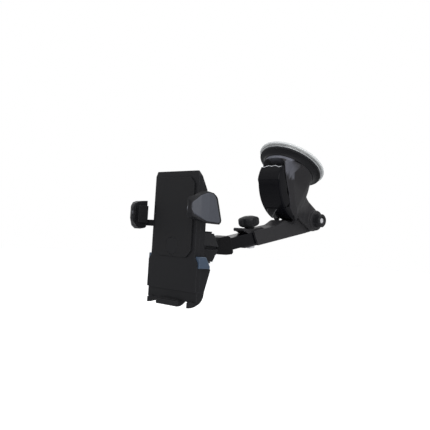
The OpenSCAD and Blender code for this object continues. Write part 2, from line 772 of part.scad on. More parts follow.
module socket_shell(from, to) {
    inner = arc(ball_r + run_gap, 90 - from, 90 - to, 24);
    outer = arc(socket_r, 90 - to, 90 - from, 24);
    rotate([-90, 0, 0]) rotate_extrude($fn = 96) polygon(concat(inner, outer));
}

module socket_cup() color(rubber) at_ball() socket_shell(cup_cut_angle, 180);

module socket_ring() color(rubber) at_ball() socket_shell(ring_cut_angle, 90);

module ball_nut() color(satin_black) at_ball() difference() {
    rotate([-90, 0, 0]) rotate_extrude($fn = 96) polygon([[0, -nut_front], [nut_r - nut_front_chamfer, -nut_front],
        [nut_r, nut_front_chamfer - nut_front], [nut_r, nut_len - nut_front - nut_chamfer],
        [nut_r - nut_chamfer, nut_len - nut_front], [0, nut_len - nut_front]]);
    for (i = [1:nut_lobes]) rotate([0, 360 * i / nut_lobes + nut_turn, 0])
        translate([nut_r + nut_lobe_out, 0, 0]) bar_y(nut_lobe_r, -nut_front - over, nut_len);
    bar_y(boss_out_r + run_gap, -nut_front - over, boss_back - ball_back + slip);
    sphere(r = socket_r + run_gap, $fn = 96);
    translate([0, lip_at - soft_gap, 0]) rotate([-90, 0, 0])
        cylinder(r1 = lip_r, r2 = neck_mouth_r, h = nut_len - nut_front - lip_at + soft_gap);
    translate([0, nut_len - nut_front - run_gap, 0]) bar_y(neck_mouth_r, 0, over);
}

// Cradle

module cradle_plan() {
    half = [[cradle_w / 2 - top_corner, cradle_top], [cradle_w / 2, cradle_top - corner_cut],
        [cradle_w / 2, chin_top + chin_step], [chin_w / 2, chin_corner], [chin_w / 2, foot_split]];
    polygon(concat(half, backwards([for (p = half) [-p[0], p[1]]])));
}

module front_shell() color(satin_black) at_cradle() difference() {
    intersection() {
        along_x(chin_w + over) polygon([[shell_face, cradle_top], [shell_face + top_front_chamfer, cradle_top],
            [shell_split, cradle_top - top_chamfer], [shell_split, foot_split], [shell_face, foot_split]]);
        along_y(0, shell_back) cradle_plan();
    }
    cradle_rooms();
}

module rear_shell() color(satin_black) at_cradle() difference() {
    union() {
        intersection() {
            along_x(chin_w + over) polygon([[shell_split, cradle_top - top_chamfer],
                [shell_back - back_chamfer[0], cradle_top - top_back_drop + back_chamfer[1]],
                [shell_back, cradle_top - top_back_drop], [shell_back, chin_top], chin_shoulder,
                [foot_split_back, foot_split], [shell_split, foot_split]]);
            along_y(0, chin_shoulder[0] + over) cradle_plan();
        }
        translate([0, 0, -ball_below]) {
            translate([0, shell_back - shell_wall, 0]) rotate([-90, 0, 0])
                cylinder(r1 = dome_r, r2 = boss_out_r, h = dome_back - shell_back + shell_wall);
            bar_y(boss_out_r, shell_back - shell_wall, boss_back);
        }
    }
    cradle_rooms();
    at_socket() sphere(r = socket_r + run_gap, $fn = 96);
    at_socket() bar_y(socket_r + run_gap, 0, boss_back);
}

module at_socket() translate([0, ball_back, -ball_below]) children();

// Every room and hole that the two shells share
module cradle_rooms() {
    translate([-cavity_end, shell_face + shell_wall, rack_z - cavity_half_h])
        cube([2 * cavity_end, cavity_back - shell_face - shell_wall, 2 * cavity_half_h]);
    rack_door(0);
    rack_door(180);
    translate([0, 0, -ball_below]) {
        bar_y(button_r + slip, 0, shell_face + shell_wall + lap);
        bar_y(button_flange_r + slip, shell_face + shell_wall, button_room_back);
    }
    both_sides() translate([tab_root - tab_travel - slip, 0, 0]) tab_solid(slip, chin_w);
    translate([-tongue_half - slip, tongue_front - slip, foot_split - over])
        cube([2 * (tongue_half + slip), tongue_t + 2 * slip, tongue_top - foot_split + over + slip]);
    at_shell_screws() shell_screw_solid(run_gap);
}

module rack_door(turn) translate([0, 0, rack_z]) rotate([0, turn, 0])
    translate([0, rack_front - slip, pitch_r - rack_tip - slip])
        cube([cradle_w, rack_t + 2 * slip, rack_tip + rack_h + 2 * slip]);

module at_shell_screws() for (x = [-shell_screw_x, shell_screw_x])
    for (z = [shell_screw_bottom, shell_screw_top]) translate([x, 0, z]) children();

module shell_screw_solid(gap) {
    head_at = cavity_back - shell_screw_head_h;
    bar_y(shell_screw_r + gap, shell_face + shell_wall - gap, cavity_back);
    bar_y(shell_screw_head_r + gap, head_at, gap > 0 ? shell_back + over : cavity_back);
}

module shell_screws() color(steel) at_cradle() at_shell_screws() shell_screw_solid(0);

module face_pad() color(rubber) at_cradle() difference() {
    along_y(pad_face, shell_face) face_pad_outline();
    translate([0, 0, -ball_below]) bar_y(button_r + slip, 0, shell_back);
}

module face_pad_outline() {
    half = face_pad_w / 2;
    cut = face_pad_round;
    polygon([[-half + cut, face_pad_top], [half - cut, face_pad_top], [half, face_pad_top - cut],
        [half, face_pad_bottom + cut], [half - cut, face_pad_bottom], [-half + cut, face_pad_bottom],
        [-half, face_pad_bottom + cut], [-half, face_pad_top - cut]]);
}

module push_button() color(satin_black) at_cradle() translate([0, 0, -ball_below]) {
    bar_y(button_r, pad_face, button_flange_at);
    bar_y(button_flange_r, button_flange_at, button_flange_at + button_flange_t);
}

module button_spring() color(steel) at_cradle() translate([0, 0, -ball_below]) difference() {
    bar_y(button_spring_r, button_flange_at + button_flange_t + run_gap, button_room_back);
    bar_y(button_spring_r - button_spring_t, 0, button_room_back + over);
}

// The tab's back slopes with the cradle's shoulder; grow makes the slot that it runs in
module tab_solid(grow, w) translate([w / 2, 0, 0]) along_x(w) polygon([
    [tab_front - grow, tab_low - grow], [tab_front - grow, tab_low + tab_h + grow],
    [tab_back + grow, tab_low + tab_h + grow], [tab_low_back + grow, tab_low + tab_h - tab_slope_h],
    [tab_low_back + grow, tab_low - grow]]);

module right_release() color(slate) at_cradle() translate([tab_root, 0, 0]) tab_solid(0, tab_tip - tab_root);

module left_release() color(slate) at_cradle() mirror([1, 0, 0])
    translate([tab_root, 0, 0]) tab_solid(0, tab_tip - tab_root);

// Rack and pinion

// Half angle of a pinion tooth at radius r, from the involute of its base circle
function inv(a) = tan(a) * 180 / PI - a;
base_r = pitch_r * cos(pressure_angle);
half_tooth_angle = (tooth_pitch - tooth_backlash) / 4 / pitch_r * 180 / PI;
function flank_angle(r) = half_tooth_angle + inv(pressure_angle) - (r > base_r ? inv(acos(base_r / r)) : 0);

module pinion_outline() {
    root = pitch_r - pinion_root;
    tip = pitch_r + pinion_tip;
    steps = 5;
    flank_from = max(base_r, root + 0.01 * gear_module);
    radii = [for (i = [0:steps]) flank_from + (tip - flank_from) * i / steps];
    polygon([for (tooth = [0:pinion_teeth - 1]) let (mid = 360 * tooth / pinion_teeth + 180 / pinion_teeth)
        each concat(
            [ray(root, mid - 180 / pinion_teeth), ray(root, mid - flank_angle(root))],
            [for (r = radii) ray(r, mid - flank_angle(r))],
            [for (i = [steps:-1:0]) ray(radii[i], mid + flank_angle(radii[i]))],
            [ray(root, mid + flank_angle(root))])]);
}

// The rack's teeth point down to the pinion; a tooth stands over x = 0 in the pinion's gap
module rack_outline() {
    half = (tooth_pitch - tooth_backlash) / 4;
    slope = tan(pressure_angle);
    root = pitch_r + rack_root;
    tip = pitch_r - rack_tip;
    translate([-rack_inner, root]) square([rack_inner + phone_w / 2 + arm_root_out, rack_back_t]);
    for (i = [-rack_teeth_back:rack_teeth_front]) translate([i * tooth_pitch, 0])
        polygon([[-half - rack_root * slope, root], [-half + rack_tip * slope, tip],
            [half - rack_tip * slope, tip], [half + rack_root * slope, root]]);
}

module pinion() color("white") at_pinion() difference() {
    translate([0, rack_front, 0]) rotate([-90, 0, 0]) linear_extrude(rack_t) pinion_outline();
    bar_y(axle_r + run_gap, 0, shell_back);
}

module pinion_axle() color(steel) at_pinion() bar_y(axle_r, shell_face + shell_wall, cavity_back);

module pinion_spring() color(steel) at_pinion() {
    steps = coil_steps * coil_turns;
    start = axle_r + coil_start;
    grow = coil_pitch / coil_steps;
    line = [for (i = [0:steps]) ray(start + grow * i, 360 * i / coil_steps)];
    back = [for (i = [steps:-1:0]) ray(start + grow * i + coil_t, 360 * i / coil_steps)];
    translate([0, cavity_back - coil_h, 0]) rotate([-90, 0, 0]) linear_extrude(coil_h) polygon(concat(line, back));
}

// Clamp arms: the left arm is the right one turned half round the pinion

module arm_solid() {
    intersection() {
        translate([0, 0, -arm_side_h]) linear_extrude(3 * arm_side_h) polygon(arm_plan);
        along_x(2 * phone_w) polygon(arm_side);
    }
}

// The panel lies in the arm's outer face; grow makes the recess round it
module panel_solid(grow) {
    outer = [for (i = [0:4]) arm_plan[i]];
    inner = moved(outer, [-panel_t, -panel_t / 4]);
    intersection() {
        translate([0, 0, -arm_side_h]) linear_extrude(3 * arm_side_h) polygon(concat(outer, backwards(inner)));
        along_x(2 * phone_w) panel_outline(1 + 2 * grow / arm_side_h);
    }
}

module panel_outline(stretch) polygon([for (p = panel_side) panel_centre + (p - panel_centre) * stretch]);

module arm_pad_solid(grow) translate([phone_w / 2 - grow, arm_pad_front, arm_pad_low])
    cube([arm_pad_t + grow, arm_pad_back - arm_pad_front, arm_pad_high - arm_pad_low]);

module arm_with_rack() {
    difference() {
        union() {
            arm_solid();
            arm_root();
        }
        panel_solid(panel_groove);
        arm_pad_solid(lap);
    }
    along_y(rack_front, rack_front + rack_t) rack_outline();
}

// Joins the rack to the arm behind the rubber pad
module arm_root() translate([phone_w / 2 + arm_root_in, arm_root_front, pitch_r + rack_root])
    cube([arm_root_out - arm_root_in, rack_front + rack_t - arm_root_front, rack_back_t]);

module turned_over() rotate([0, 180, 0]) children();

module right_arm() color(satin_black) at_pinion() arm_with_rack();
module left_arm() color(satin_black) at_pinion() turned_over() arm_with_rack();
module right_arm_pad() color(rubber) at_pinion() arm_pad_solid(-run_gap);
module left_arm_pad() color(rubber) at_pinion() turned_over() arm_pad_solid(-run_gap);
module right_arm_panel() color(panel_grey) at_pinion() panel_solid(0);
module left_arm_panel() color(panel_grey) at_pinion() turned_over() panel_solid(0);

// Foot

module foot_outline() {
    polygon(concat([[foot_wall_front, foot_split], [foot_split_back, foot_split]], foot_heel,
        [[claw_tip + foot_edge, claw_top - claw_t], [claw_tip, claw_top - claw_t + foot_edge], [claw_tip, claw_top],
            [foot_wall_front, claw_top]]));
}

// Plan of the three claws: a wide prong with bevelled corners between two horns
module claw_plan() {
    reach = foot_split_back + lap;
    polygon([[-prong_half, reach], [-prong_half, claw_tip + prong_bevel], [prong_bevel - prong_half, claw_tip],
        [prong_half - prong_bevel, claw_tip], [prong_half, claw_tip + prong_bevel], [prong_half, reach]]);
    both_sides() polygon(claw_half);
}

module foot() color(satin_black) at_cradle() translate([0, 0, -face_gap]) {
    intersection() {
        along_x(chin_w) foot_outline();
        union() {
            translate([0, 0, claw_top - claw_t - over]) linear_extrude(claw_t + over) claw_plan();
            translate([-chin_w / 2, foot_wall_front, claw_top])
                cube([chin_w, foot_split_back, foot_split - claw_top]);
        }
    }
    translate([-tongue_half, tongue_front, foot_split])
        cube([2 * tongue_half, tongue_t, tongue_top - foot_split]);
}

module foot_pads() color(rubber) at_cradle() translate([0, 0, claw_top - face_gap]) linear_extrude(foot_pad_t) {
    pad_half = prong_half - lap;
    pad_front = claw_tip + lap;
    polygon([[-pad_half, foot_wall_front], [-pad_half, pad_front + prong_bevel], [prong_bevel - pad_half, pad_front],
        [pad_half - prong_bevel, pad_front], [pad_half, pad_front + prong_bevel], [pad_half, foot_wall_front]]);
    both_sides() polygon(claw_pad_half);
}

suction_pad();
hard_cup();
base_housing();
base_cover();
base_screws();
pull_stem();
suction_lever();
lever_pin();
hinge_bolt();
friction_washers();
hinge_knob();
outer_arm();
clamp_screw();
clamp_nut();
clamp_knob();
inner_arm();
arm_head();
ball();
socket_cup();
socket_ring();
ball_nut();
front_shell();
rear_shell();
face_pad();
shell_screws();
pinion_axle();
pinion();
pinion_spring();
right_arm();
left_arm();
right_arm_pad();
left_arm_pad();
right_arm_panel();
left_arm_panel();
push_button();
button_spring();
right_release();
left_release();
foot();
foot_pads();
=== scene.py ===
"""Suction cup phone holder: the looks of every piece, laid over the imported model."""
import json
import math

import bmesh
import bpy
import numpy as np
from bpy.props import FloatProperty, FloatVectorProperty, PointerProperty
from bpy.types import Operator, Panel, PropertyGroup
from mathutils import Matrix, Vector


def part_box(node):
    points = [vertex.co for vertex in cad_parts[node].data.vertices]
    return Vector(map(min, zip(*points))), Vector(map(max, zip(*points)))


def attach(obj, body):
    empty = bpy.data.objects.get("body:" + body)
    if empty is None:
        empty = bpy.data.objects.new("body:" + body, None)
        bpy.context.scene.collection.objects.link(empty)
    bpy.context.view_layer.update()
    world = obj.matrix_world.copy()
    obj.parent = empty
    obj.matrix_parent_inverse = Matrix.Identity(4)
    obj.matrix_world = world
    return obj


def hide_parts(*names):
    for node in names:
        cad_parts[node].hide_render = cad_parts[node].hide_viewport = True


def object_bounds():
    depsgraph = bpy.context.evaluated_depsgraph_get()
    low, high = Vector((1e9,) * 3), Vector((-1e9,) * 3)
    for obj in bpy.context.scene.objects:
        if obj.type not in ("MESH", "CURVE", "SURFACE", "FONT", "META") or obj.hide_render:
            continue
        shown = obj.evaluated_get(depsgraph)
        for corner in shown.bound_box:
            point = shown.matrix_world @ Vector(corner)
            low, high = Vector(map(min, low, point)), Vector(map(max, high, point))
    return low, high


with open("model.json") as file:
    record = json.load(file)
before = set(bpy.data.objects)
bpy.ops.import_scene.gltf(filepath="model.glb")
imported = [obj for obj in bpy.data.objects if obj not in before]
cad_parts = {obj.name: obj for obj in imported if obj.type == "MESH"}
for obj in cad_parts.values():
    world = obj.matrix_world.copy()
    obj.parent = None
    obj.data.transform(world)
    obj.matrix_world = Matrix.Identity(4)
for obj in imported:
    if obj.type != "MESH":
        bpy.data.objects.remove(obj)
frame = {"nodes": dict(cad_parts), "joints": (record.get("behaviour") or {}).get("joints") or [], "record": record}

bl_info = {
    "name": "Suction cup phone holder",
    "version": (1, 0, 0),
    "blender": (4, 5, 0),
    "location": "View3D > Sidebar > Holder",
    "description": "Builds the visible pieces, finishes, stage and camera of a suction cup phone holder",
    "category": "Add Mesh",
}

MM = 0.001
CAD_BOX = [list(corner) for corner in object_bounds()]
RECORD = frame["record"]
BODY_OF = {node: body for body, nodes in RECORD["behaviour"]["bodies"].items() for node in nodes}
SLOT_OF = {part["node"]: part["material_slot"] for part in RECORD["subparts"]}
JOINTS = {joint["name"]: joint for joint in frame["joints"]}

# Points and directions of the moving groups, in metres, from the record's joints
HINGE = np.array(JOINTS["arm_swing"]["pos_m"])
ARM_ALONG = np.array(JOINTS["arm_slide"]["axis"])
ARM_UP = np.array(JOINTS["clamp_knob_turn"]["axis"])
BALL = np.array(JOINTS["ball_pitch"]["pos_m"])
LEVER_PIN = np.array(JOINTS["lever_open"]["pos_m"])
PANEL_LOW, PANEL_HIGH = (np.array(corner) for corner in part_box("right_arm_panel"))
# The right panel's box starts and ends at these distances from the pinion's axis
PANEL_AHEAD, PANEL_ABOVE = 10.8 * MM, 13.65 * MM
PINION = np.array([0.0, PANEL_LOW[1] + PANEL_AHEAD, PANEL_HIGH[2] - PANEL_ABOVE])
SIDE = np.array([1.0, 0.0, 0.0])
OFF_GLASS = LEVER_PIN / np.linalg.norm(LEVER_PIN)
FORWARD = np.cross(OFF_GLASS, SIDE)
PIN_HEIGHT = np.linalg.norm(LEVER_PIN) / MM

# Outlines on the base: forward of the cup's axis and off the glass, in millimetres
CROWN = np.array([(16.6, 35.6), (3.0, 54.0), (-20.0, 51.65)])
LIP = np.array([(21.6, 21.5), (21.3, 26.3), (20.3, 30.8), (19.0, 34.2)])
CHEEK_IN = np.array([(-24.0, 50.6), (-20.0, 49.6), (-13.7, 47.3), (-8.6, 45.3), (0.5, 36.6), (9.5, 29.0),
                     (14.1, 25.4), (18.0, 20.5), (24.0, 12.0)])
CHEEK_OUT = np.array([(-24.0, 48.0), (-17.8, 45.4), (-8.5, 37.7), (0.6, 28.4), (8.1, 21.3), (13.0, 14.5),
                      (24.0, 11.0)])
LEVER_WALL = np.array([(19.9, 22.3), (18.0, 22.9), (14.1, 26.4), (9.5, 30.0), (4.0, 34.6), (2.0, 37.4),
                       (-1.5, 38.2), (-4.2, 40.0), (-6.0, 43.0), (-7.1, 46.2)])
COVER_TAIL = np.array([(-18.7, 51.3), (-19.1, 50.5)])
HINGE_AT = np.array([-48.0, 34.0])
# Shares of the crown's curve where the lever ends, and where the cover starts and meets its tail
LEVER_END, COVER_START, COVER_END = 0.59, 0.615, 0.955
# Ends of the cover's ribs: across in millimetres, and share of the crown's curve
RIBS = [[(-8.2, 0.632), (-11.4, 0.76)], [(2.6, 0.632), (-10.2, 0.91)]]
# Half width of lever and cover, and the radius of their long edges, in millimetres
PLATE_HALF, PLATE_EDGE = 13.0, 1.5
# Radius of the leg's round end, in millimetres
LEG_ROUND = 10.5
# Height of the gel pad off the glass, in millimetres
PAD_HEIGHT = 4.2


class HolderFinishes(PropertyGroup):
    """Colours of the holder's plastics, rubber and metal"""
    satin_black: FloatVectorProperty(name="Satin black", description="Cradle, knobs and nut", subtype="COLOR",
                                     size=3, min=0, max=1, default=(0.0135, 0.0136, 0.0150))
    gloss_black: FloatVectorProperty(name="Gloss black", description="Lever, cover and inner arm",
                                     subtype="COLOR", size=3, min=0, max=1, default=(0.0045, 0.0045, 0.0060))
    charcoal: FloatVectorProperty(name="Charcoal", description="Housing and outer arm", subtype="COLOR",
                                  size=3, min=0, max=1, default=(0.0270, 0.0262, 0.0282))
    # The edge grey is painted highlight along edges, broken into patches like wear
    edge_grey: FloatVectorProperty(name="Edge grey", description="Paler tone along polished edges",
                                   subtype="COLOR", size=3, min=0, max=1, default=(0.085, 0.085, 0.100))
    panel_grey: FloatVectorProperty(name="Panel grey", description="Panels on the side arms", subtype="COLOR",
                                    size=3, min=0, max=1, default=(0.060, 0.064, 0.077))
    slate: FloatVectorProperty(name="Slate", description="Release tabs", subtype="COLOR", size=3, min=0, max=1,
                               default=(0.040, 0.062, 0.098))
    gel: FloatVectorProperty(name="Gel", description="Clear gel of the suction pad", subtype="COLOR", size=3,
                             min=0, max=1, default=(0.90, 0.93, 0.95))
    rubber: FloatVectorProperty(name="Rubber", description="Grip pads and washers", subtype="COLOR", size=3,
                                min=0, max=1, default=(0.010, 0.010, 0.011))
    steel: FloatVectorProperty(name="Steel", description="Bolts, screws, pins and springs", subtype="COLOR",
                               size=3, min=0, max=1, default=(0.50, 0.50, 0.52))
    natural: FloatVectorProperty(name="Natural plastic", description="The pinion", subtype="COLOR", size=3,
                                 min=0, max=1, default=(0.70, 0.69, 0.64))


class HolderSizes(PropertyGroup):
    """Edge rounding, the camera's place and the floor's"""
    edge_round: FloatProperty(name="Edge rounding", description="Radius of the moulded pieces' edges",
                              subtype="DISTANCE", unit="LENGTH", default=0.5 * MM, min=0.05 * MM, max=2 * MM)
    view_azimuth: FloatProperty(name="View azimuth", description="Camera's turn round the holder",
                                subtype="ANGLE", unit="ROTATION", default=math.radians(45.5))
    view_elevation: FloatProperty(name="View elevation", description="Camera's height angle",
                                  subtype="ANGLE", unit="ROTATION", default=math.radians(-1.9))
    view_roll: FloatProperty(name="View roll", description="Camera's tilt about its own line of sight",
                             subtype="ANGLE", unit="ROTATION", default=math.radians(3.6))
    view_place: FloatVectorProperty(name="Camera place", description="Where the camera stands", size=3,
                                    subtype="TRANSLATION", unit="LENGTH", default=(0.3822, -0.4734, -0.0745))
    view_lens: FloatProperty(name="Focal length", description="Focal length for a 36 mm sensor, in millimetres",
                             default=53.55, min=20, max=200)
    floor_drop: FloatProperty(name="Floor drop", description="Gap from the holder's lowest point to the floor",
                              subtype="DISTANCE", unit="LENGTH", default=40 * MM, min=0, max=0.5)


# Shader helpers

# Colour sockets of the Mix node
MIX_A, MIX_B, MIX_OUT = 6, 7, 2


def new_group(name, inputs, outputs):
    """An empty shader node group with float and colour sockets."""
    group = bpy.data.node_groups.new(name, "ShaderNodeTree")
    kinds = {"float": "NodeSocketFloat", "colour": "NodeSocketColor"}
    for label, kind, value in inputs:
        socket = group.interface.new_socket(name=label, in_out="INPUT", socket_type=kinds[kind])
        socket.default_value = value
    for label, kind in outputs:
        group.interface.new_socket(name=label, in_out="OUTPUT", socket_type=kinds[kind])
    return group, group.nodes.new("NodeGroupInput"), group.nodes.new("NodeGroupOutput")


def set_inputs(node, inputs):
    """Sets a node's inputs by the names or numbers of their sockets."""
    for key, value in inputs.items():
        node.inputs[key].default_value = value


def add(tree, kind, inputs=None, **settings):
    """A new node, with its properties set and then its inputs."""
    made = tree.nodes.new(kind)
    for key, value in settings.items():
        setattr(made, key, value)
    set_inputs(made, inputs or {})
    return made


def calc(tree, operation, *terms, **settings):
    """The output of a Math node; its terms are numbers or the outputs of other nodes."""
    made = add(tree, "ShaderNodeMath", operation=operation, **settings)
    for number, term in enumerate(terms):
        if isinstance(term, bpy.types.NodeSocket):
            tree.links.new(term, made.inputs[number])
        else:
            made.inputs[number].default_value = term
    return made.outputs[0]


def moulded_grain():
    """Group: fine moulded texture. Gives a height for a bump, and a tone and a roughness that drift a little."""
    group = bpy.data.node_groups.get("Moulded grain")
    if group:
        return group
    group, put_in, put_out = new_group(
        "Moulded grain",
        [("Colour", "colour", (0.5, 0.5, 0.5, 1)), ("Roughness", "float", 0.4), ("Grain per metre", "float", 4000.0),
         ("Tone drift", "float", 0.08), ("Roughness drift", "float", 0.06)],
        [("Colour", "colour"), ("Roughness", "float"), ("Height", "float")])
    link = group.links.new
    coords = add(group, "ShaderNodeTexCoord")
    grain = add(group, "ShaderNodeTexNoise", inputs={"Detail": 2.0, "Roughness": 0.6})
    link(coords.outputs["Object"], grain.inputs["Vector"])
    link(put_in.outputs["Grain per metre"], grain.inputs["Scale"])
    drift = add(group, "ShaderNodeTexNoise", inputs={"Scale": 90.0, "Detail": 3.0})
    link(coords.outputs["Object"], drift.inputs["Vector"])
    centred = calc(group, "SUBTRACT", drift.outputs["Fac"], 0.5)
    tone = calc(group, "MULTIPLY_ADD", centred, put_in.outputs["Tone drift"], 1.0)
    tint = add(group, "ShaderNodeVectorMath", operation="SCALE")
    link(put_in.outputs["Colour"], tint.inputs[0])
    link(tone, tint.inputs["Scale"])
    rough = calc(group, "MULTIPLY_ADD", centred, put_in.outputs["Roughness drift"], put_in.outputs["Roughness"])
    link(tint.outputs[0], put_out.inputs["Colour"])
    link(rough, put_out.inputs["Roughness"])
    link(grain.outputs["Fac"], put_out.inputs["Height"])
    return group


def edge_wear_and_highlight():
    """Group: edges painted paler and smoother, a painted highlight broken into patches like rubbed wear. The mask is
    how far a rounded normal leans from the true one.
    """
    group = bpy.data.node_groups.get("Edge wear and painted highlight")
    if group:
        return group
    group, put_in, put_out = new_group(
        "Edge wear and painted highlight",
        [("Colour", "colour", (0.5, 0.5, 0.5, 1)), ("Edge colour", "colour", (0.6, 0.6, 0.6, 1)),
         ("Roughness", "float", 0.4), ("Amount", "float", 0.5), ("Patchiness", "float", 0.5)],
        [("Colour", "colour"), ("Roughness", "float")])
    link = group.links.new
    rounded = add(group, "ShaderNodeBevel", samples=4, inputs={"Radius": 0.5 * MM})
    true = add(group, "ShaderNodeNewGeometry")
    lean = add(group, "ShaderNodeVectorMath", operation="DOT_PRODUCT")
    link(rounded.outputs["Normal"], lean.inputs[0])
    link(true.outputs["Normal"], lean.inputs[1])
    edge = add(group, "ShaderNodeMapRange", inputs={"From Min": 0.995, "From Max": 0.88})
    link(lean.outputs["Value"], edge.inputs["Value"])
    coords = add(group, "ShaderNodeTexCoord")
    patches = add(group, "ShaderNodeTexNoise", inputs={"Scale": 260.0, "Detail": 4.0})
    link(coords.outputs["Object"], patches.inputs["Vector"])
    faded = calc(group, "MULTIPLY", patches.outputs["Fac"], put_in.outputs["Patchiness"])
    wear_and_highlight = calc(group, "MULTIPLY", edge.outputs["Result"], calc(group, "SUBTRACT", 1.0, faded))
    share = calc(group, "MULTIPLY", wear_and_highlight, put_in.outputs["Amount"], use_clamp=True)
    tint = add(group, "ShaderNodeMix", data_type="RGBA")
    link(share, tint.inputs["Factor"])
    link(put_in.outputs["Colour"], tint.inputs[MIX_A])
    link(put_in.outputs["Edge colour"], tint.inputs[MIX_B])
    smooth = calc(group, "MULTIPLY_ADD", share, -0.12, put_in.outputs["Roughness"])
    link(tint.outputs[MIX_OUT], put_out.inputs["Colour"])
    link(smooth, put_out.inputs["Roughness"])
    return group


def material(name, colour, roughness, grain=4000.0, depth=0.02 * MM, tone=0.08, drift=0.05, metal=0.0,
             specular=0.5, transmission=0.0, ior=1.46, bump=0.3, sheen=0.0, edge=None):
    """A procedural material: the Principled shader with grain, tone and roughness drift and paler edges, which are
    painted highlight with wear patches.
    """
    made = bpy.data.materials.new(name)
    made.use_nodes = True
    tree = made.node_tree
    shader = tree.nodes["Principled BSDF"]
    set_inputs(shader, {"Metallic": metal, "Specular IOR Level": specular, "Transmission Weight": transmission,
                        "IOR": ior})
    effect = add(tree, "ShaderNodeGroup", node_tree=moulded_grain(), name="Grain",
                 inputs={"Colour": (*colour, 1), "Roughness": roughness, "Grain per metre": grain,
                         "Tone drift": tone, "Roughness drift": drift})
    bumped = add(tree, "ShaderNodeBump", inputs={"Strength": bump, "Distance": depth})
    tree.links.new(effect.outputs["Height"], bumped.inputs["Height"])
    tree.links.new(bumped.outputs["Normal"], shader.inputs["Normal"])
    last = effect
    # Edges painted paler: a painted highlight, patchy like wear
    if sheen:
        edge = edge or bpy.context.scene.holder_finishes.edge_grey
        last = add(tree, "ShaderNodeGroup", node_tree=edge_wear_and_highlight(),
                   inputs={"Edge colour": (*edge, 1), "Amount": sheen})
        tree.links.new(effect.outputs["Colour"], last.inputs["Colour"])
        tree.links.new(effect.outputs["Roughness"], last.inputs["Roughness"])
    tree.links.new(last.outputs["Colour"], shader.inputs["Base Color"])
    tree.links.new(last.outputs["Roughness"], shader.inputs["Roughness"])
    return made


def add_painted_light_rim(made, colour):
    """Mixes in a paler band that the mesh's own attribute marks: painted light on the housing's front corner and
    arch.
    """
    tree = made.node_tree
    band = add(tree, "ShaderNodeAttribute", attribute_type="GEOMETRY", attribute_name="painted_light_rim")
    # The paler colour is painted light where the key lamp falls on the front corner and arch
    mix = add(tree, "ShaderNodeMix", data_type="RGBA", clamp_factor=False,
              inputs={MIX_A: (*colour, 1), MIX_B: (0.105, 0.107, 0.124, 1)})
    tree.links.new(band.outputs["Fac"], mix.inputs["Factor"])
    tree.links.new(mix.outputs[MIX_OUT], tree.nodes["Grain"].inputs["Colour"])


def add_painted_gel_light(made, _):
    """Colours the gel by its height: a painted highlight at the disc's rounded edge, painted shade in the step
    against the cup.
    """
    tree = made.node_tree
    coords = add(tree, "ShaderNodeTexCoord")
    height = add(tree, "ShaderNodeVectorMath", operation="DOT_PRODUCT", inputs={1: tuple(OFF_GLASS)})
    tree.links.new(coords.outputs["Object"], height.inputs[0])
    share = add(tree, "ShaderNodeMapRange", inputs={"From Min": 0.0, "From Max": PAD_HEIGHT * MM})
    tree.links.new(height.outputs["Value"], share.inputs["Value"])
    ramp = add(tree, "ShaderNodeValToRGB")
    tree.links.new(share.outputs["Result"], ramp.inputs["Fac"])
    steps = ramp.color_ramp.elements
    steps[0].position, steps[0].color = 0.0, (0.42, 0.45, 0.47, 1)
    steps[1].position, steps[1].color = 1.0, (0.62, 0.64, 0.66, 1)
    # Bright steps are painted highlight on the rounded edge, dark steps painted shade in the step
    for place_at, tone in ((0.10, 0.55), (0.17, 0.95), (0.42, 0.95), (0.50, 0.30), (0.80, 0.22), (0.92, 0.55)):
        step = steps.new(place_at)
        step.color = (tone * 0.98, tone, tone, 1)
    tree.links.new(ramp.outputs["Color"], tree.nodes["Grain"].inputs["Colour"])


# Each finish: the material's name, its colour or the setting that holds it, its roughness, and what else it needs
RECIPES = {
    "satin_black": ("Satin black", "satin_black", 0.40, dict(grain=5200, specular=0.10, sheen=0.35)),
    "gloss_black": ("Gloss black", "gloss_black", 0.20,
                    dict(grain=2500, depth=0.004 * MM, bump=0.1, drift=0.06, specular=0.09, sheen=0.3)),
    "charcoal": ("Charcoal", "charcoal", 0.42, dict(grain=5200, specular=0.12, sheen=0.5)),
    "charcoal_painted_rim": ("Charcoal with painted light", "charcoal", 0.42, dict(grain=5200, specular=0.12, sheen=0.5)),
    # Panel and slate edges are painted highlight, in a paler colour of their own
    "panel_grey": ("Panel grey", "panel_grey", 0.36,
                   dict(grain=6500, depth=0.01 * MM, specular=0.25, sheen=0.6, edge=(0.4, 0.4, 0.44))),
    "slate": ("Slate", "slate", 0.35,
              dict(grain=5200, depth=0.015 * MM, specular=0.4, sheen=0.5, edge=(0.2, 0.25, 0.32))),
    "gel": ("Clear gel", "gel", 0.10,
            dict(grain=900, depth=0.001 * MM, transmission=0.25, ior=1.40, tone=0.02, drift=0.01, bump=0.02)),
    # A near white bead on the lever's lip: a painted highlight
    "painted_highlight_trim": ("Painted highlight", (0.60, 0.61, 0.63), 0.25, dict(grain=2500, depth=0.002 * MM, specular=0.4)),
    # The cover's ribs are pale grey: painted highlight along their raised edges
    "painted_highlight_rib": ("Rib painted highlight", (0.10, 0.10, 0.11), 0.25, dict(grain=2500, depth=0.002 * MM, specular=0.4)),
    "deep_black": ("Deep black", (0.0045, 0.0045, 0.0052), 0.36, dict(grain=5200, specular=0.08, sheen=0.3)),
    "rubber": ("Rubber", "rubber", 0.72, dict(grain=3600, depth=0.04 * MM, specular=0.2, sheen=0.2)),
    "steel": ("Steel", "steel", 0.26, dict(grain=6000, depth=0.005 * MM, metal=1.0)),
    "natural_plastic": ("Natural plastic", "natural", 0.45, dict(depth=0.01 * MM, specular=0.4)),
}
EXTRAS = {"charcoal_painted_rim": add_painted_light_rim, "gel": add_painted_gel_light}
FINISHES = {}


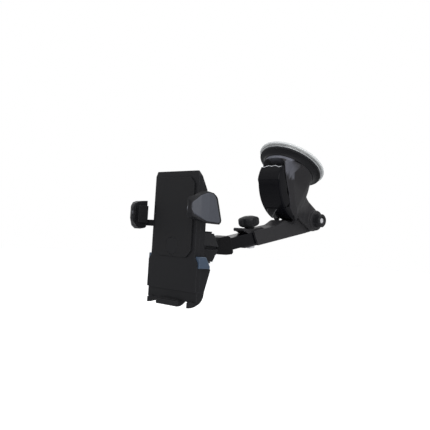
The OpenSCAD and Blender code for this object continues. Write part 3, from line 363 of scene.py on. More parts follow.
def finish_of(key):
    """The material of a recipe, built once."""
    if key not in FINISHES:
        name, colour, roughness, settings = RECIPES[key]
        if isinstance(colour, str):
            colour = getattr(bpy.context.scene.holder_finishes, colour)
        FINISHES[key] = material(name, colour, roughness, **settings)
        if key in EXTRAS:
            EXTRAS[key](FINISHES[key], colour)
    return FINISHES[key]


# Mesh helpers

def link_object(name, mesh):
    """A new object for the mesh, in the scene."""
    made = bpy.data.objects.new(name, mesh)
    bpy.context.scene.collection.objects.link(made)
    return made


def place(piece, node, finish=None):
    """Gives the piece a node's finish, or another one, and lets it ride on the node's body."""
    body, slot = BODY_OF[node], SLOT_OF[node]
    piece.data.materials.clear()
    piece.data.materials.append(finish_of(finish or slot))
    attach(piece, body)


def stand_for(piece, node, finish=None):
    """Places the piece and puts it in the CAD node's stead."""
    place(piece, node, finish)
    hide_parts(node)
    return piece


def new_piece(mesh, node):
    """An object for the mesh that stands for a CAD node."""
    stand_for(link_object(node + "_skin", mesh), node)


def extra_piece(mesh, node, finish=None):
    """An object for the mesh that goes with a CAD node's body and slot, beside its skin."""
    place(link_object(mesh.name, mesh), node, finish)


def shade_smooth(mesh, sharp):
    """Smooth shading, with edges above the angle (in degrees) kept sharp."""
    mesh.polygons.foreach_set("use_smooth", np.ones(len(mesh.polygons), dtype=bool))
    mesh.set_sharp_from_angle(angle=math.radians(sharp))


def rounded_copy(node, width=None, segments=3, finish=None):
    """A merged copy of a CAD node with its flat faces joined and its edges rounded; it stands for the node."""
    edge_angle, flat_angle = 28.0, 0.4
    mesh = frame["nodes"][node].data.copy()
    mesh.name = node + "_skin"
    work = bmesh.new()
    work.from_mesh(mesh)
    bmesh.ops.remove_doubles(work, verts=work.verts, dist=0.002 * MM)
    bmesh.ops.dissolve_limit(work, angle_limit=math.radians(flat_angle), verts=work.verts, edges=work.edges)
    work.to_mesh(mesh)
    work.free()
    shade_smooth(mesh, edge_angle)
    piece = link_object(node + "_skin", mesh)
    bevel = piece.modifiers.new("Edges", "BEVEL")
    bevel.width = width or bpy.context.scene.holder_sizes.edge_round
    bevel.segments = segments
    bevel.limit_method = "ANGLE"
    bevel.angle_limit = math.radians(edge_angle)
    bevel.harden_normals = True
    bevel.miter_outer = "MITER_ARC"
    return stand_for(piece, node, finish)


def plain_nodes(*nodes):
    """CAD nodes that stay as they are and get their slot's finish."""
    for node in nodes:
        mesh = frame["nodes"][node].data
        mesh.materials.clear()
        mesh.materials.append(finish_of(SLOT_OF[node]))


def points_of(mesh):
    """The mesh's points as an array (points, 3), in metres."""
    points = np.empty(len(mesh.vertices) * 3)
    mesh.vertices.foreach_get("co", points)
    return points.reshape(-1, 3)


def move_points(mesh, points):
    """Puts the mesh's points where the array says."""
    mesh.vertices.foreach_set("co", points.ravel())
    mesh.update()


def grid_mesh(name, points):
    """A smooth open mesh from closed rings of points (rings, points, 3)."""
    rings, columns = points.shape[:2]
    index = np.arange(rings * columns).reshape(rings, columns)
    index = np.hstack([index, index[:, :1]])
    quads = np.stack([index[:-1, :-1], index[1:, :-1], index[1:, 1:], index[:-1, 1:]], axis=-1).reshape(-1, 4)
    mesh = bpy.data.meshes.new(name)
    mesh.from_pydata(points.reshape(-1, 3), [], quads)
    mesh.polygons.foreach_set("use_smooth", np.ones(len(mesh.polygons), dtype=bool))
    return mesh


def closed_mesh(name, rings, sharp=None):
    """A closed surface through rings of equally many points (rings, points, 3), with a flat cap at each end."""
    rings = np.asarray(rings)
    mesh = grid_mesh(name, rings)
    columns = rings.shape[1]
    last = (rings.shape[0] - 1) * columns
    work = bmesh.new()
    work.from_mesh(mesh)
    work.verts.ensure_lookup_table()
    work.faces.new([work.verts[i] for i in range(columns)])
    work.faces.new([work.verts[last + i] for i in range(columns - 1, -1, -1)])
    bmesh.ops.recalc_face_normals(work, faces=work.faces)
    work.to_mesh(mesh)
    work.free()
    if sharp:
        mesh.set_sharp_from_angle(angle=math.radians(sharp))
    return mesh


def welded_mesh(name, rings, near, sharp):
    """A surface through rings whose first and last one shrink to a point, with points nearer than this joined."""
    mesh = grid_mesh(name, rings)
    work = bmesh.new()
    work.from_mesh(mesh)
    bmesh.ops.remove_doubles(work, verts=work.verts, dist=near)
    bmesh.ops.recalc_face_normals(work, faces=work.faces)
    work.to_mesh(mesh)
    work.free()
    mesh.set_sharp_from_angle(angle=math.radians(sharp))
    return mesh


def on_glass(points_mm):
    """Points from the cup's frame (across, forward, off the glass; millimetres) to the object's frame in metres."""
    points = np.asarray(points_mm, dtype=float) * MM
    return points[..., :1] * SIDE + points[..., 1:2] * FORWARD + points[..., 2:3] * OFF_GLASS


def bend(share):
    """B(t) = (1-t)^2 p0 + 2 t (1-t) p1 + t^2 p2 over the crown's three points."""
    share = np.asarray(share)[:, None]
    return (1 - share) ** 2 * CROWN[0] + 2 * share * (1 - share) * CROWN[1] + share ** 2 * CROWN[2]


def even_line(points, count):
    """The polyline at evenly spaced lengths."""
    points = np.asarray(points, dtype=float)
    run = np.concatenate([[0], np.cumsum(np.linalg.norm(np.diff(points, axis=0), axis=1))])
    at = np.linspace(0, run[-1], count)
    return np.stack([np.interp(at, run, points[:, i]) for i in range(points.shape[1])], axis=1)


def soften(points, rounds):
    """Relaxes a polyline's inner points towards their neighbours' middles, ends kept."""
    points = points.copy()
    for _ in range(rounds):
        points[1:-1] = 0.5 * points[1:-1] + 0.25 * (points[:-2] + points[2:])
    return points


def unit_rows(rows):
    """The rows of an array at length one."""
    return rows / np.linalg.norm(rows, axis=1)[:, None]


def across_rings(outline_of, rows):
    """Rings in planes across x: R(x, i) = (x, outline_of(x)_i), from the cup's frame."""
    rings = []
    for x in rows:
        outline = outline_of(x)
        rings.append(on_glass(np.column_stack([np.full(len(outline), x), outline])))
    return rings


def shell_mesh(name, outer, inner_of, shift_of=None):
    """A closed shell swept across x: S(u, x) = outer(u) pulled in by e(x) on top, inner(u, x) below.

    e(x) = r - sqrt(r^2 - max(0, |x| - (w - r))^2) rounds the long edges with radius r.
    """
    flat_half = PLATE_HALF - PLATE_EDGE
    side = -PLATE_HALF + PLATE_EDGE * (1 - np.cos(np.linspace(0, np.pi / 2, 9)))
    rows = np.concatenate([side, np.linspace(-flat_half, flat_half, 41)[1:-1], -side[::-1]])
    along = unit_rows(np.gradient(outer, axis=0))
    inward = np.stack([along[:, 1], -along[:, 0]], axis=1)
    if np.sum(inward * (np.array([0, PIN_HEIGHT]) - outer)) < 0:
        inward = -inward

    def outline(x):
        over = max(0.0, abs(x) - flat_half)
        top = outer + inward * (PLATE_EDGE - math.sqrt(max(0.0, PLATE_EDGE ** 2 - over ** 2)))
        if shift_of:
            top = top + shift_of(x)
        return np.concatenate([top, inner_of(x)[::-1]])

    return closed_mesh(name, across_rings(outline, rows), sharp=38)


def baked(piece):
    """Puts what the modifiers make into the piece's own mesh."""
    graph = bpy.context.evaluated_depsgraph_get()
    mesh = bpy.data.meshes.new_from_object(piece.evaluated_get(graph))
    piece.modifiers.clear()
    old = piece.data
    piece.data = mesh
    bpy.data.meshes.remove(old)


def cut(piece, name, rings):
    """Takes the solid through the rings out of the piece."""
    mesh = closed_mesh(name, rings)
    cutter = link_object("cutter", mesh)
    hole = piece.modifiers.new("Cut", "BOOLEAN")
    hole.operation = "DIFFERENCE"
    hole.solver = "EXACT"
    hole.object = cutter
    baked(piece)
    bpy.data.objects.remove(cutter)
    bpy.data.meshes.remove(mesh)


def rounded_box_ring(half_x, back, front, corner):
    """Plan ring of a rounded rectangle, x in [-half_x, half_x], y in [back, front], corner radius given."""
    corner = min(corner, half_x - 0.01, (front - back) / 2 - 0.01)
    centres = [(half_x - corner, front - corner), (corner - half_x, front - corner), (corner - half_x, back + corner),
               (half_x - corner, back + corner)]
    parts = []
    for i, (x, y) in enumerate(centres):
        turn = np.linspace(i * np.pi / 2, (i + 1) * np.pi / 2, 12)
        parts.append(np.stack([x + corner * np.cos(turn), y + corner * np.sin(turn)], axis=1))
    ring = np.concatenate(parts + [parts[0][:1]])
    return even_line(ring, 97)[:-1]


def tube_mesh(name, line, radius):
    """A round bead along a line in the cup's frame: S(i, a) = P_i + r (cos a n_i + sin a b_i), closed ends."""
    along = unit_rows(np.gradient(line, axis=0))
    across = unit_rows(np.cross(along, [0.0, 0.0, 1.0]))
    third = np.cross(along, across)
    angles = np.linspace(0, 2 * np.pi, 12, endpoint=False)[None, :, None]
    taper = np.sqrt(np.clip(1 - np.linspace(-1, 1, len(line)) ** 16, 0.02, 1)) * radius
    spokes = np.cos(angles) * across[:, None, :] + np.sin(angles) * third[:, None, :]
    return closed_mesh(name, on_glass(line[:, None, :] + taper[:, None, None] * spokes))


def lathe_mesh(name, profile):
    """A closed surface of revolution about the cup's axis: S(a, i) = (r_i sin a, r_i cos a, z_i)."""
    turns = 192
    profile = np.asarray(profile, dtype=float)
    angles = np.linspace(0, 2 * np.pi, turns, endpoint=False)
    points = np.stack([np.outer(profile[:, 0], np.sin(angles)), np.outer(profile[:, 0], np.cos(angles)),
                       np.repeat(profile[:, 1:2], turns, axis=1)], axis=-1)
    return welded_mesh(name, on_glass(points), near=1e-7, sharp=35)


# Operators: one for each piece or group of like pieces

class HOLDER_OT_base(Operator):
    """Dress the suction cup, the housing and the cover"""
    bl_idname = "holder.base"
    bl_label = "Suction base"

    def execute(self, context):
        new_piece(self.pad(), "suction_pad")
        rounded_copy("hard_cup", 0.4 * MM)
        self.housing()
        new_piece(self.cover(), "base_cover")
        # The ribs are pale grey against the gloss black cover: painted highlight along their raised edges
        for number, ends in enumerate(RIBS, 1):
            line = even_line(ends, 40)
            bead = np.concatenate([line[:, :1], bend(line[:, 1])], axis=1)
            extra_piece(tube_mesh(f"base_cover_rib_{number}", bead, radius=0.34), "base_cover", "painted_highlight_rib")
        plain_nodes("base_screws", "pull_stem", "lever_pin", "friction_washers")
        return {"FINISHED"}

    @staticmethod
    def pad():
        """The clear disc: flat grip face, round outer edge, a step, and the seat of the cup."""
        lip = [(31.3 + 0.7 * math.sin(a), 0.7 - 0.7 * math.cos(a)) for a in np.linspace(0, np.pi / 2, 9)]
        top = [(31.7 + 0.3 * math.cos(a), 1.5 + 0.3 * math.sin(a)) for a in np.linspace(0, np.pi / 2, 6)]
        step = [(30.9, 1.85), (30.6, 2.1), (30.4, 2.6), (30.25, 4.0), (30.1, 4.18), (29.6, PAD_HEIGHT),
                (13.0, PAD_HEIGHT), (12.5, 3.9), (12.4, 0.25), (0.0, 0.25)]
        return lathe_mesh("suction_pad_skin", [(0.0, 0.0), (15.0, 0.0), (26.0, 0.0)] + lip + top + step)

    @staticmethod
    def cover():
        """The fixed part of the crown, from the lever's end back to the leg, with its sides down to the cheeks."""
        wall_from, wall_sunk, least_wall, nose_room = 11.9, 1.6, 1.0, 8.3
        outer = even_line(bend(np.linspace(COVER_START, COVER_END, 40)), 60)
        outer = np.concatenate([outer, COVER_TAIL])

        def inner_of(x):
            """Side walls stand on the cheeks, a plate is between them, and the lever's nose has room to turn."""
            low = outer.copy()
            if abs(x) > wall_from:
                cheek = np.interp(outer[:, 0], CHEEK_IN[:, 0], CHEEK_IN[:, 1])
                low[:, 1] = np.minimum(outer[:, 1] - least_wall, cheek - wall_sunk)
            else:
                low[:, 1] = outer[:, 1] - np.interp(-outer[:, 0], [12.0, 19.0], [3.3, 1.2])
            above_pin = low[:, 1] - PIN_HEIGHT
            near = (np.hypot(low[:, 0], above_pin) < nose_room) & (low[:, 0] > -nose_room)
            low[near, 0] = -np.sqrt(np.maximum(0.01, nose_room ** 2 - above_pin[near] ** 2))
            return low

        return shell_mesh("base_cover_skin", outer, inner_of)

    @staticmethod
    def column_rings():
        """The column: from the round rim on the cup, flaring in to the column's plan, straight up past the crown."""
        rim_radius, flare_low, flare_tall, flare_power = 24.2, 11.2, 15.8, 2.2
        half = np.array([(12.4, 23.4), (15.7, 17.4), (16.0, 10.8), (16.0, -15.0), (14.6, -21.6), (11.5, -24.6),
                         (6.0, -25.4), (0.0, -25.5)])
        loop = np.concatenate([half, (half * [-1, 1])[::-1][1:], half[:1]])
        column = even_line(loop, 193)[:-1]
        circle = unit_rows(column) * rim_radius
        heights = [[9.9, flare_low], np.linspace(flare_low, 27.0, 22)[1:], [32, 38, 44, 50, 54]]
        rings = []
        for height in np.concatenate(heights):
            share = min(max((height - flare_low) / flare_tall, 0.0), 1.0)
            ring = circle + (column - circle) * (1 - (1 - share) ** flare_power)
            rings.append(on_glass(np.column_stack([ring, np.full(len(ring), height)])))
        return rings

    @staticmethod
    def leg_rings():
        """The leg: rounded sections along y from inside the column to the hinge, 24 mm wide, ending round."""
        hinge_y, hinge_z = HINGE_AT
        end = hinge_y - LEG_ROUND * np.sin(np.linspace(0, 0.985, 14) * np.pi / 2)
        rings = []
        for y in np.concatenate([np.linspace(-10, -47, 20), end]):
            wide = np.interp(-y, [10, 18, 31, 60], [15.4, 15.2, 12, 12])
            tall = LEG_ROUND if y > hinge_y else math.sqrt(max(0.02, LEG_ROUND ** 2 - (y - hinge_y) ** 2))
            raised = np.interp(-y, [10, 22, 48], [2.2, 2.0, 0.0])
            ring = rounded_box_ring(wide, hinge_z - tall, hinge_z + tall + raised, corner=2.2)
            rings.append(on_glass(np.column_stack([ring[:, 0], np.full(len(ring), y), ring[:, 1]])))
        return rings

    @staticmethod
    def above_cheeks(x):
        """Outline of all that is above the cheeks' edge at x. The edge falls outward, in a slanted chamfer."""
        back, front, high, chamfer_from, chamfer_wide = -23.0, 36.0, 80.0, 13.2, 2.8
        along = np.linspace(back, front, 60)
        low_in = np.interp(along, CHEEK_IN[:, 0], CHEEK_IN[:, 1])
        low_out = np.interp(along, CHEEK_OUT[:, 0], CHEEK_OUT[:, 1])
        outward = min(max((abs(x) - chamfer_from) / chamfer_wide, 0), 2)
        edge = np.stack([along, low_in + (low_out - low_in) * outward], axis=1)
        return np.concatenate([edge, [(front, high), (back, high)]])

    @staticmethod
    def pocket(x):
        """Outline of the room for lever and cover at x: its floor rises in an arc to the sides, the finger recess."""
        arc_from, arc_radius, arc_low, nose_back = 6.3, 7.0, 12.8, -8.4
        over = max(0.0, abs(x) - arc_from)
        floor = arc_low + arc_radius - math.sqrt(max(0.0, arc_radius ** 2 - over ** 2))
        seat = bend(np.linspace(0.66, 1.0, 12)) - [0, 3.4]
        seat = seat[seat[:, 0] < nose_back]
        return np.concatenate([[(34.0, 70.0), (34.0, floor), (13.0, floor), (13.0, max(19.0, floor + 0.2)),
                                (9.5, 27.6), (4.0, 32.4), (0.0, 32.6), (-5.0, 33.2), (nose_back, 36.4),
                                (nose_back, seat[0][1])], seat, [(-20.1, 48.2), (-20.1, 70.0)]])

    @staticmethod
    def clevis():
        """Outline of the room that the arm's end and its swing need, seen from the side."""
        arm_tilt = math.radians(36)
        turned = np.array([[math.cos(arm_tilt), math.sin(arm_tilt)], [-math.sin(arm_tilt), math.cos(arm_tilt)]])
        under = np.array([(0, -10.6), (9, -9.2), (19.8, -5.2), (30, -3.5), (60, -3.5), (60, 60), (0, 60)])
        back = [(-70.0, -20.0), (-48.0, -20.0), (-48.0, 23.4)]
        return np.concatenate([back, under @ turned + HINGE_AT, [(-70.0, 90.0)]])

    def housing(self):
        """Column, leg and boss relaxed into one flowing form, then cut by cheeks' edge, pocket and clevis."""
        mesh = closed_mesh("base_housing_skin", self.column_rings())
        piece = link_object("base_housing_skin", mesh)
        boss_round, boss_chamfer, boss_flat, boss_half = 9.6, 0.8, 14.4, 14.8
        slot_half, head_round = 9.1, 5.05
        angles = np.linspace(0, 2 * np.pi, 97)[:-1]
        disc = np.stack([np.cos(angles), np.sin(angles)], axis=1)
        boss = across_rings(lambda x: disc * (boss_round - boss_chamfer * (abs(x) > boss_flat)) + HINGE_AT,
                            [-boss_half, -boss_flat, boss_flat, boss_half])
        work = bmesh.new()
        work.from_mesh(mesh)
        for other in (closed_mesh("leg", self.leg_rings()), closed_mesh("boss", boss)):
            work.from_mesh(other)
            bpy.data.meshes.remove(other)
        work.to_mesh(mesh)
        work.free()
        grid = piece.modifiers.new("Grid", "REMESH")
        grid.mode = "VOXEL"
        grid.voxel_size = 0.5 * MM
        grid.use_smooth_shade = True
        relax = piece.modifiers.new("Relax", "SMOOTH")
        relax.factor = 0.6
        relax.iterations = 6
        baked(piece)
        sides = np.concatenate([np.linspace(-30, -16, 4), np.linspace(-16, 16, 33)[1:-1], np.linspace(16, 30, 4)])
        cut(piece, "above", across_rings(self.above_cheeks, sides))
        cut(piece, "pocket", across_rings(self.pocket, np.linspace(-13.3, 13.3, 41)))
        cut(piece, "clevis", across_rings(lambda x: self.clevis(), [-slot_half, slot_half]))
        cut(piece, "bolt head", across_rings(lambda x: disc * head_round + HINGE_AT, [-16.0, -12.8]))
        shade_smooth(piece.data, 32)
        # Marks where light is painted on the housing's front corner and arch
        self.mark_rim(piece.data)
        stand_for(piece, "base_housing", "charcoal_painted_rim")

    @staticmethod
    def mark_rim(mesh):
        """Mask of painted light: 1 on the column's front corner and 1.9 on the arch before the finger recess, fading
        back.
        """
        def ramp(value, start, width):
            return np.clip((value - start) / width, 0, 1)

        points = points_of(mesh) / MM
        across, forward, off = np.abs(points @ SIDE), points @ FORWARD, points @ OFF_GLASS
        corner = ramp(forward + 0.9 * off, 24.6, 1.6) * ramp(-off, -24.2, 0.8) * ramp(across, 12.9, 0.4)
        arch = (ramp(forward, 15.0, 3.0) * ramp(-off, -13.0, 0.4) * ramp(np.hypot(across, forward), 21.0, 1.0)
                * ramp(off, 9.6, 0.4))
        band = mesh.attributes.new("painted_light_rim", "FLOAT", "POINT")
        band.data.foreach_set("value", np.maximum(corner, 1.9 * arch))


class HOLDER_OT_lever(Operator):
    """Dress the suction lever"""
    bl_idname = "holder.lever"
    bl_label = "Suction lever"

    def execute(self, context):
        plate = np.concatenate([LIP, bend(np.linspace(0, LEVER_END, 40))])
        outer = soften(even_line(plate, 110), 14)
        wall_from, ripple, dip = 11.2, 8.7, 1.2

        def inner_of(x):
            """Below the plate: 3 mm thick in the middle, side walls down to the deck and round the pin."""
            if abs(x) > wall_from:
                return even_line(LEVER_WALL, len(outer))
            low = outer + np.array([-1.7, -2.9])
            low[0] = outer[0] + np.array([-1.7, 0.0])
            return low

        def wave(x):
            """The lip's lower edge waves: it drops by 1.2 mm in the middle, with ripples of 0.5 mm."""
            fade = np.clip(1 - np.arange(len(outer)) / 16, 0, 1) ** 1.5
            lift = 0.5 * math.cos(2 * math.pi * x / ripple) - dip * math.cos(math.pi * x / (2 * PLATE_HALF)) ** 2
            return np.stack([np.zeros(len(outer)), fade * lift], axis=1)

        new_piece(shell_mesh("suction_lever_skin", outer, inner_of, wave), "suction_lever")
        # A near white bead along the lip: painted highlight where light catches the lip's edge
        bead = np.array([[x, *(outer[0] + wave(x)[0] + [0.05, 0.1])] for x in np.linspace(-12.0, 12.0, 90)])
        extra_piece(tube_mesh("suction_lever_lip_highlight", bead, radius=0.32), "suction_lever", "painted_highlight_trim")
        return {"FINISHED"}


class HOLDER_OT_hinge(Operator):
    """Dress the hinge's knob and bolt"""
    bl_idname = "holder.hinge"
    bl_label = "Hinge"

    def execute(self, context):
        rounded_copy("hinge_knob", 0.2 * MM)
        rounded_copy("hinge_bolt", 0.3 * MM)
        return {"FINISHED"}


class HOLDER_OT_arm(Operator):
    """Dress the outer arm, the inner arm, the clamp knob and the head block"""
    bl_idname = "holder.arm"
    bl_label = "Arm"

    def execute(self, context):
        rounded_copy("outer_arm")
        extra_piece(self.shoulder(), "outer_arm")
        rounded_copy("inner_arm", 0.8 * MM)
        rounded_copy("arm_head", 1.2 * MM, finish="deep_black")
        rounded_copy("clamp_knob", 1.3 * MM, segments=5)
        plain_nodes("clamp_screw", "clamp_nut")
        return {"FINISHED"}

    @staticmethod
    def shoulder():
        """The raised shoulder on the arm's top, just past the cover: S(u, x) swept across the arm."""
        half, edge, sunk = 8.55, 0.9, 1.0
        top = [(33.0, 2.4), (33.9, 3.3), (35.2, 4.3), (37.2, 5.4), (39.6, 6.1), (42.2, 5.7), (46.0, 4.3), (50.0, 3.1),
               (52.0, 2.7)]
        top = soften(even_line(top, 40), 6)
        bottom = np.stack([top[::-1, 0], np.full(len(top), sunk)], axis=1)
        side = half - edge * (1 - np.cos(np.linspace(0, np.pi / 2, 6)))
        rings = []
        for x in np.concatenate([-side, side[::-1]]):
            over = max(0.0, abs(x) - (half - edge))
            pull = edge - math.sqrt(max(0.0, edge ** 2 - over ** 2))
            rim = top - np.array([0, pull]) * np.clip(top[:, 1:] - 2.6, 0, 1)
            ring = np.concatenate([rim, bottom]) * MM
            rings.append(HINGE + x * MM * SIDE + ring[:, :1] * ARM_ALONG + ring[:, 1:] * ARM_UP)
        return closed_mesh("outer_arm_shoulder", rings, sharp=40)


class HOLDER_OT_ball_joint(Operator):
    """Dress the ball, its socket and the ball nut"""
    bl_idname = "holder.ball_joint"
    bl_label = "Ball joint"

    def execute(self, context):
        self.grips(rounded_copy("ball_nut", 0.4 * MM).data)
        plain_nodes("ball", "socket_cup", "socket_ring")
        return {"FINISHED"}

    @staticmethod
    def grips(mesh):
        """Squares the nut's six grips: R(a) = f / cos a within 25 degrees of each middle, a groove between them."""
        outside, face, groove, half_turn = 12.4, 13.05, 11.9, 25
        arm_end, arm_end_drop, cradle_end, cradle_end_drop = 12.2, 2.2, -8.8, 0.6
        local = (points_of(mesh) - BALL) / MM
        radius, along = np.hypot(local[:, 0], local[:, 2]), local[:, 1]
        outer = radius > outside
        off_middle = np.abs(np.degrees(np.arctan2(local[:, 2], local[:, 0])) % 60 - 30)
        grip = np.where(off_middle < half_turn, face / np.cos(np.radians(off_middle)), groove)
        grip = grip - arm_end_drop * (along > arm_end) - cradle_end_drop * (along < cradle_end)
        scale = np.where(outer, grip / np.maximum(radius, 1e-6), 1.0)
        # The last ring before the arm's end moves back, so that the chamfer there is longer
        along = np.where(outer & (along > 10.9) & (along < 11.6), 9.9, along)
        local = np.stack([local[:, 0] * scale, along, local[:, 2] * scale], axis=1)
        move_points(mesh, BALL + local * MM)


class HOLDER_OT_cradle(Operator):
    """Dress the cradle's shells, face pad, button, release tabs and inner pieces"""
    bl_idname = "holder.cradle"
    bl_label = "Cradle"

    def execute(self, context):
        for node, rounding in (("front_shell", 0.7), ("rear_shell", 0.9), ("face_pad", 0.4), ("push_button", 0.4),
                               ("right_release", 0.6), ("left_release", 0.6)):
            rounded_copy(node, rounding * MM)
        plain_nodes("shell_screws", "pinion_axle", "pinion", "pinion_spring", "button_spring")
        return {"FINISHED"}


class HOLDER_OT_side_arms(Operator):
    """Dress the two side arms, their pads and panels"""
    bl_idname = "holder.side_arms"
    bl_label = "Side arms"

    def execute(self, context):
        for side, turn in (("right", 1), ("left", -1)):
            self.taper(rounded_copy(f"{side}_arm", 0.6 * MM).data, turn)
            rounded_copy(f"{side}_arm_pad", 0.3 * MM)
            new_piece(self.panel(f"{side}_arm_panel_skin", turn), f"{side}_arm_panel")
        return {"FINISHED"}

    @staticmethod
    def taper(mesh, turn):
        """Draws the arm's front end in to a narrow tip: z' = 1 + (z - 1) s(y), with s from 1 at the pad to 0.52."""
        points = points_of(mesh)
        local = (points - PINION) / MM
        front_from, paddle_from = -4.0, 33.0
        height = local[:, 2] * turn
        front = (local[:, 1] < front_from) & (np.abs(local[:, 0]) > paddle_from)
        share = np.interp(local[:, 1], [-12.5, -9.5, -4.5], [0.52, 0.76, 1.0])
        height = np.where(front, 1.0 + (height - 1.0) * share, height)
        points[:, 2] = PINION[2] + height * turn * MM
        move_points(mesh, points)

    @staticmethod
    def panel(name, turn):
        """The panel: S(r, i) = middle + r (rim_i - middle) over the arm's bowed face, its rim rounded over.

        The face is x = f(y), read off the arm's plan; the rim drops by b (1 - cos a) as it goes out by b sin a.
        """
        face_y = np.array([-12.8, -11.5, -10.4, -5.4, 0.6, 9.0, 13.0])
        face_x = np.array([33.0, 33.74, 36.92, 41.06, 43.5, 45.21, 45.7])
        rim = np.array([(-11.5, 1.2), (-11.3, 3.9), (-9.9, 7.9), (-6.3, 12.2), (-0.7, 14.8), (3.8, 13.9), (5.7, 11.9),
                        (6.7, 10.2), (10.9, -5.4), (10.9, -6.6), (9.8, -7.8), (4.5, -7.6), (-0.2, -7.4), (-2.6, -6.3),
                        (-6.2, -3.9), (-9.6, -1.7)])
        middle, rounding, proud, thick = np.array([0.5, 3.0]), 0.8, 0.12, 1.6
        loop = even_line(np.concatenate([rim, rim[:1]]), 241)
        for _ in range(5):
            ring = loop[:-1]
            loop[:-1] = 0.5 * ring + 0.25 * (np.roll(ring, 1, axis=0) + np.roll(ring, -1, axis=0))
        loop = loop[:-1]
        along = unit_rows(np.roll(loop, -1, axis=0) - np.roll(loop, 1, axis=0))
        outward = np.stack([-along[:, 1], along[:, 0]], axis=1)
        if np.sum(outward * (loop - loop.mean(axis=0))) < 0:
            outward = -outward
        rings = [(middle + share * (loop - rounding * outward - middle), 0.0) for share in np.linspace(0.0, 1.0, 22)]
        for a in np.linspace(0, np.pi / 2, 8)[1:]:
            rings.append((loop - rounding * (1 - math.sin(a)) * outward, rounding * (1 - math.cos(a))))
        rings += [(loop, thick), (middle + 0.0 * loop, thick)]
        points = []
        for flat, low in rings:
            out = np.interp(flat[:, 0], face_y, face_x) + proud - low
            points.append(np.concatenate([out[:, None], flat], axis=1))
        return welded_mesh(name, PINION + np.array(points) * MM * [turn, 1, turn], near=1e-6, sharp=50)


class HOLDER_OT_foot(Operator):
    """Dress the foot and its pads"""
    bl_idname = "holder.foot"
    bl_label = "Foot"

    def execute(self, context):
        rounded_copy("foot", 0.8 * MM)
        rounded_copy("foot_pads", 0.25 * MM)
        return {"FINISHED"}


# Stage

LAMPS = (
    # name, place from the holder's middle in metres, size in metres, watts
    ("Key lamp", (0.30, 0.15, 0.92), (0.5, 0.5), 5.0),
    ("Side lamp", (0.85, -0.45, 0.25), (0.6, 0.6), 2.2),
    ("Front lamp", (0.45, -0.90, 0.36), (0.7, 0.7), 5.0),
    ("Rim lamp", (0.3, 0.9, 0.3), (0.5, 0.8), 0.3),
)


def white_to_camera(tree, shader_out, target):
    """Mixes a shader with plain white light that only the camera, glossy surfaces and clear gel see."""
    path = add(tree, "ShaderNodeLightPath")
    seen = calc(tree, "MAXIMUM", path.outputs["Is Camera Ray"], path.outputs["Is Transmission Ray"])
    either = calc(tree, "MAXIMUM", seen, path.outputs["Is Glossy Ray"])
    white = add(tree, "ShaderNodeEmission", inputs={"Color": (1, 1, 1, 1), "Strength": 1.0})
    mix = add(tree, "ShaderNodeMixShader")
    tree.links.new(either, mix.inputs["Fac"])
    tree.links.new(shader_out, mix.inputs[1])
    tree.links.new(white.outputs[0], mix.inputs[2])
    tree.links.new(mix.outputs[0], target)


def area_lamp(name, place_m, aim_m, size, watts):
    """A soft rectangular lamp that looks from one point to another."""
    lamp = bpy.data.lights.new(name, "AREA")
    lamp.shape = "RECTANGLE"
    lamp.size, lamp.size_y = size
    lamp.energy = watts
    holder = bpy.data.objects.new(name, lamp)
    bpy.context.scene.collection.objects.link(holder)
    holder.location = place_m
    holder.rotation_euler = (Vector(aim_m) - Vector(place_m)).to_track_quat("-Z", "Y").to_euler()


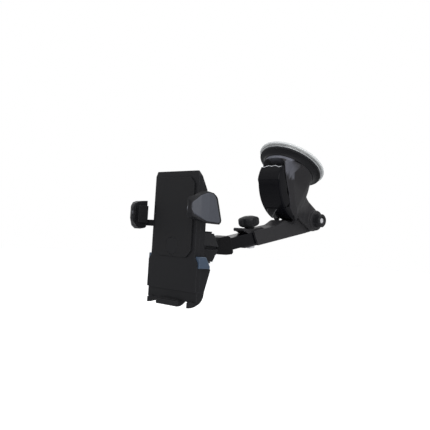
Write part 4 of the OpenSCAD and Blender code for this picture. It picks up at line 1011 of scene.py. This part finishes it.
class HOLDER_OT_stage(Operator):
    """Make the floor, the world, the lamps and the camera"""
    bl_idname = "holder.stage"
    bl_label = "Stage"

    def execute(self, context):
        scene = context.scene
        sizes = scene.holder_sizes
        scene.view_settings.view_transform = "Standard"
        self.make_world(scene)
        self.make_floor(sizes)
        middle = (np.array(CAD_BOX[0]) + np.array(CAD_BOX[1])) / 2
        for name, offset, size, watts in LAMPS:
            area_lamp(name, middle + np.array(offset), middle, size, watts)
        self.make_camera(scene, sizes)
        return {"FINISHED"}

    @staticmethod
    def make_world(scene):
        """Dim bluish light from all round, seen as plain white."""
        world = bpy.data.worlds.new("White room")
        world.use_nodes = True
        scene.world = world
        tree = world.node_tree
        soft = tree.nodes["Background"]
        set_inputs(soft, {"Color": (0.9, 0.94, 1.0, 1), "Strength": 0.22})
        white_to_camera(tree, soft.outputs[0], tree.nodes["World Output"].inputs["Surface"])

    @staticmethod
    def make_floor(sizes):
        """A pale square below the holder, lit up for the camera."""
        half = 2.0
        height = CAD_BOX[0][2] - sizes.floor_drop
        mesh = bpy.data.meshes.new("floor")
        mesh.from_pydata([(-half, -half, height), (half, -half, height), (half, half, height),
                          (-half, half, height)], [], [(0, 1, 2, 3)])
        floor = link_object("floor", mesh)
        paint = bpy.data.materials.new("Pale floor")
        paint.use_nodes = True
        tree = paint.node_tree
        shader = tree.nodes["Principled BSDF"]
        set_inputs(shader, {"Base Color": (0.85, 0.85, 0.85, 1), "Roughness": 0.9,
                            "Emission Color": (0.75, 0.75, 0.75, 1)})
        path = add(tree, "ShaderNodeLightPath")
        tree.links.new(path.outputs["Is Camera Ray"], shader.inputs["Emission Strength"])
        mesh.materials.append(paint)

    @staticmethod
    def make_camera(scene, sizes):
        """The camera looks along -back, where back points from the holder to the camera."""
        turn, rise, roll = sizes.view_azimuth, sizes.view_elevation, sizes.view_roll
        back = np.array([math.sin(turn) * math.cos(rise), -math.cos(turn) * math.cos(rise), math.sin(rise)])
        right = np.array([math.cos(turn), math.sin(turn), 0.0])
        up = np.cross(back, right)
        across = right * math.cos(roll) + up * math.sin(roll)
        above = up * math.cos(roll) - right * math.sin(roll)
        camera = bpy.data.cameras.new("Camera")
        camera.sensor_width = 36
        camera.lens = sizes.view_lens
        holder = bpy.data.objects.new("Camera", camera)
        scene.collection.objects.link(holder)
        matrix = Matrix.Identity(4)
        for row in range(3):
            matrix[row][0], matrix[row][1], matrix[row][2] = across[row], above[row], back[row]
            matrix[row][3] = sizes.view_place[row]
        holder.matrix_world = matrix
        scene.camera = holder


class HOLDER_PT_panel(Panel):
    """Buttons that build the holder's pieces"""
    bl_label = "Suction cup phone holder"
    bl_idname = "HOLDER_PT_panel"
    bl_space_type = "VIEW_3D"
    bl_region_type = "UI"
    bl_category = "Holder"

    def draw(self, context):
        for operator in PIECES:
            self.layout.operator(operator.bl_idname)
        self.layout.operator(HOLDER_OT_stage.bl_idname)
        for group in (context.scene.holder_sizes, context.scene.holder_finishes):
            for key in group.bl_rna.properties.keys():
                if key not in ("rna_type", "name"):
                    self.layout.prop(group, key)


PIECES = (HOLDER_OT_base, HOLDER_OT_lever, HOLDER_OT_hinge, HOLDER_OT_arm, HOLDER_OT_ball_joint,
          HOLDER_OT_cradle, HOLDER_OT_side_arms, HOLDER_OT_foot)
CLASSES = (HolderFinishes, HolderSizes, *PIECES, HOLDER_OT_stage, HOLDER_PT_panel)


def register():
    for cls in CLASSES:
        bpy.utils.register_class(cls)
    bpy.types.Scene.holder_finishes = PointerProperty(type=HolderFinishes)
    bpy.types.Scene.holder_sizes = PointerProperty(type=HolderSizes)


def unregister():
    del bpy.types.Scene.holder_sizes
    del bpy.types.Scene.holder_finishes
    for cls in reversed(CLASSES):
        bpy.utils.unregister_class(cls)


def main():
    register()
    bpy.ops.holder.stage()
    for operator in PIECES:
        group, name = operator.bl_idname.split(".")
        getattr(getattr(bpy.ops, group), name)()


if __name__ == "__main__":
    main()
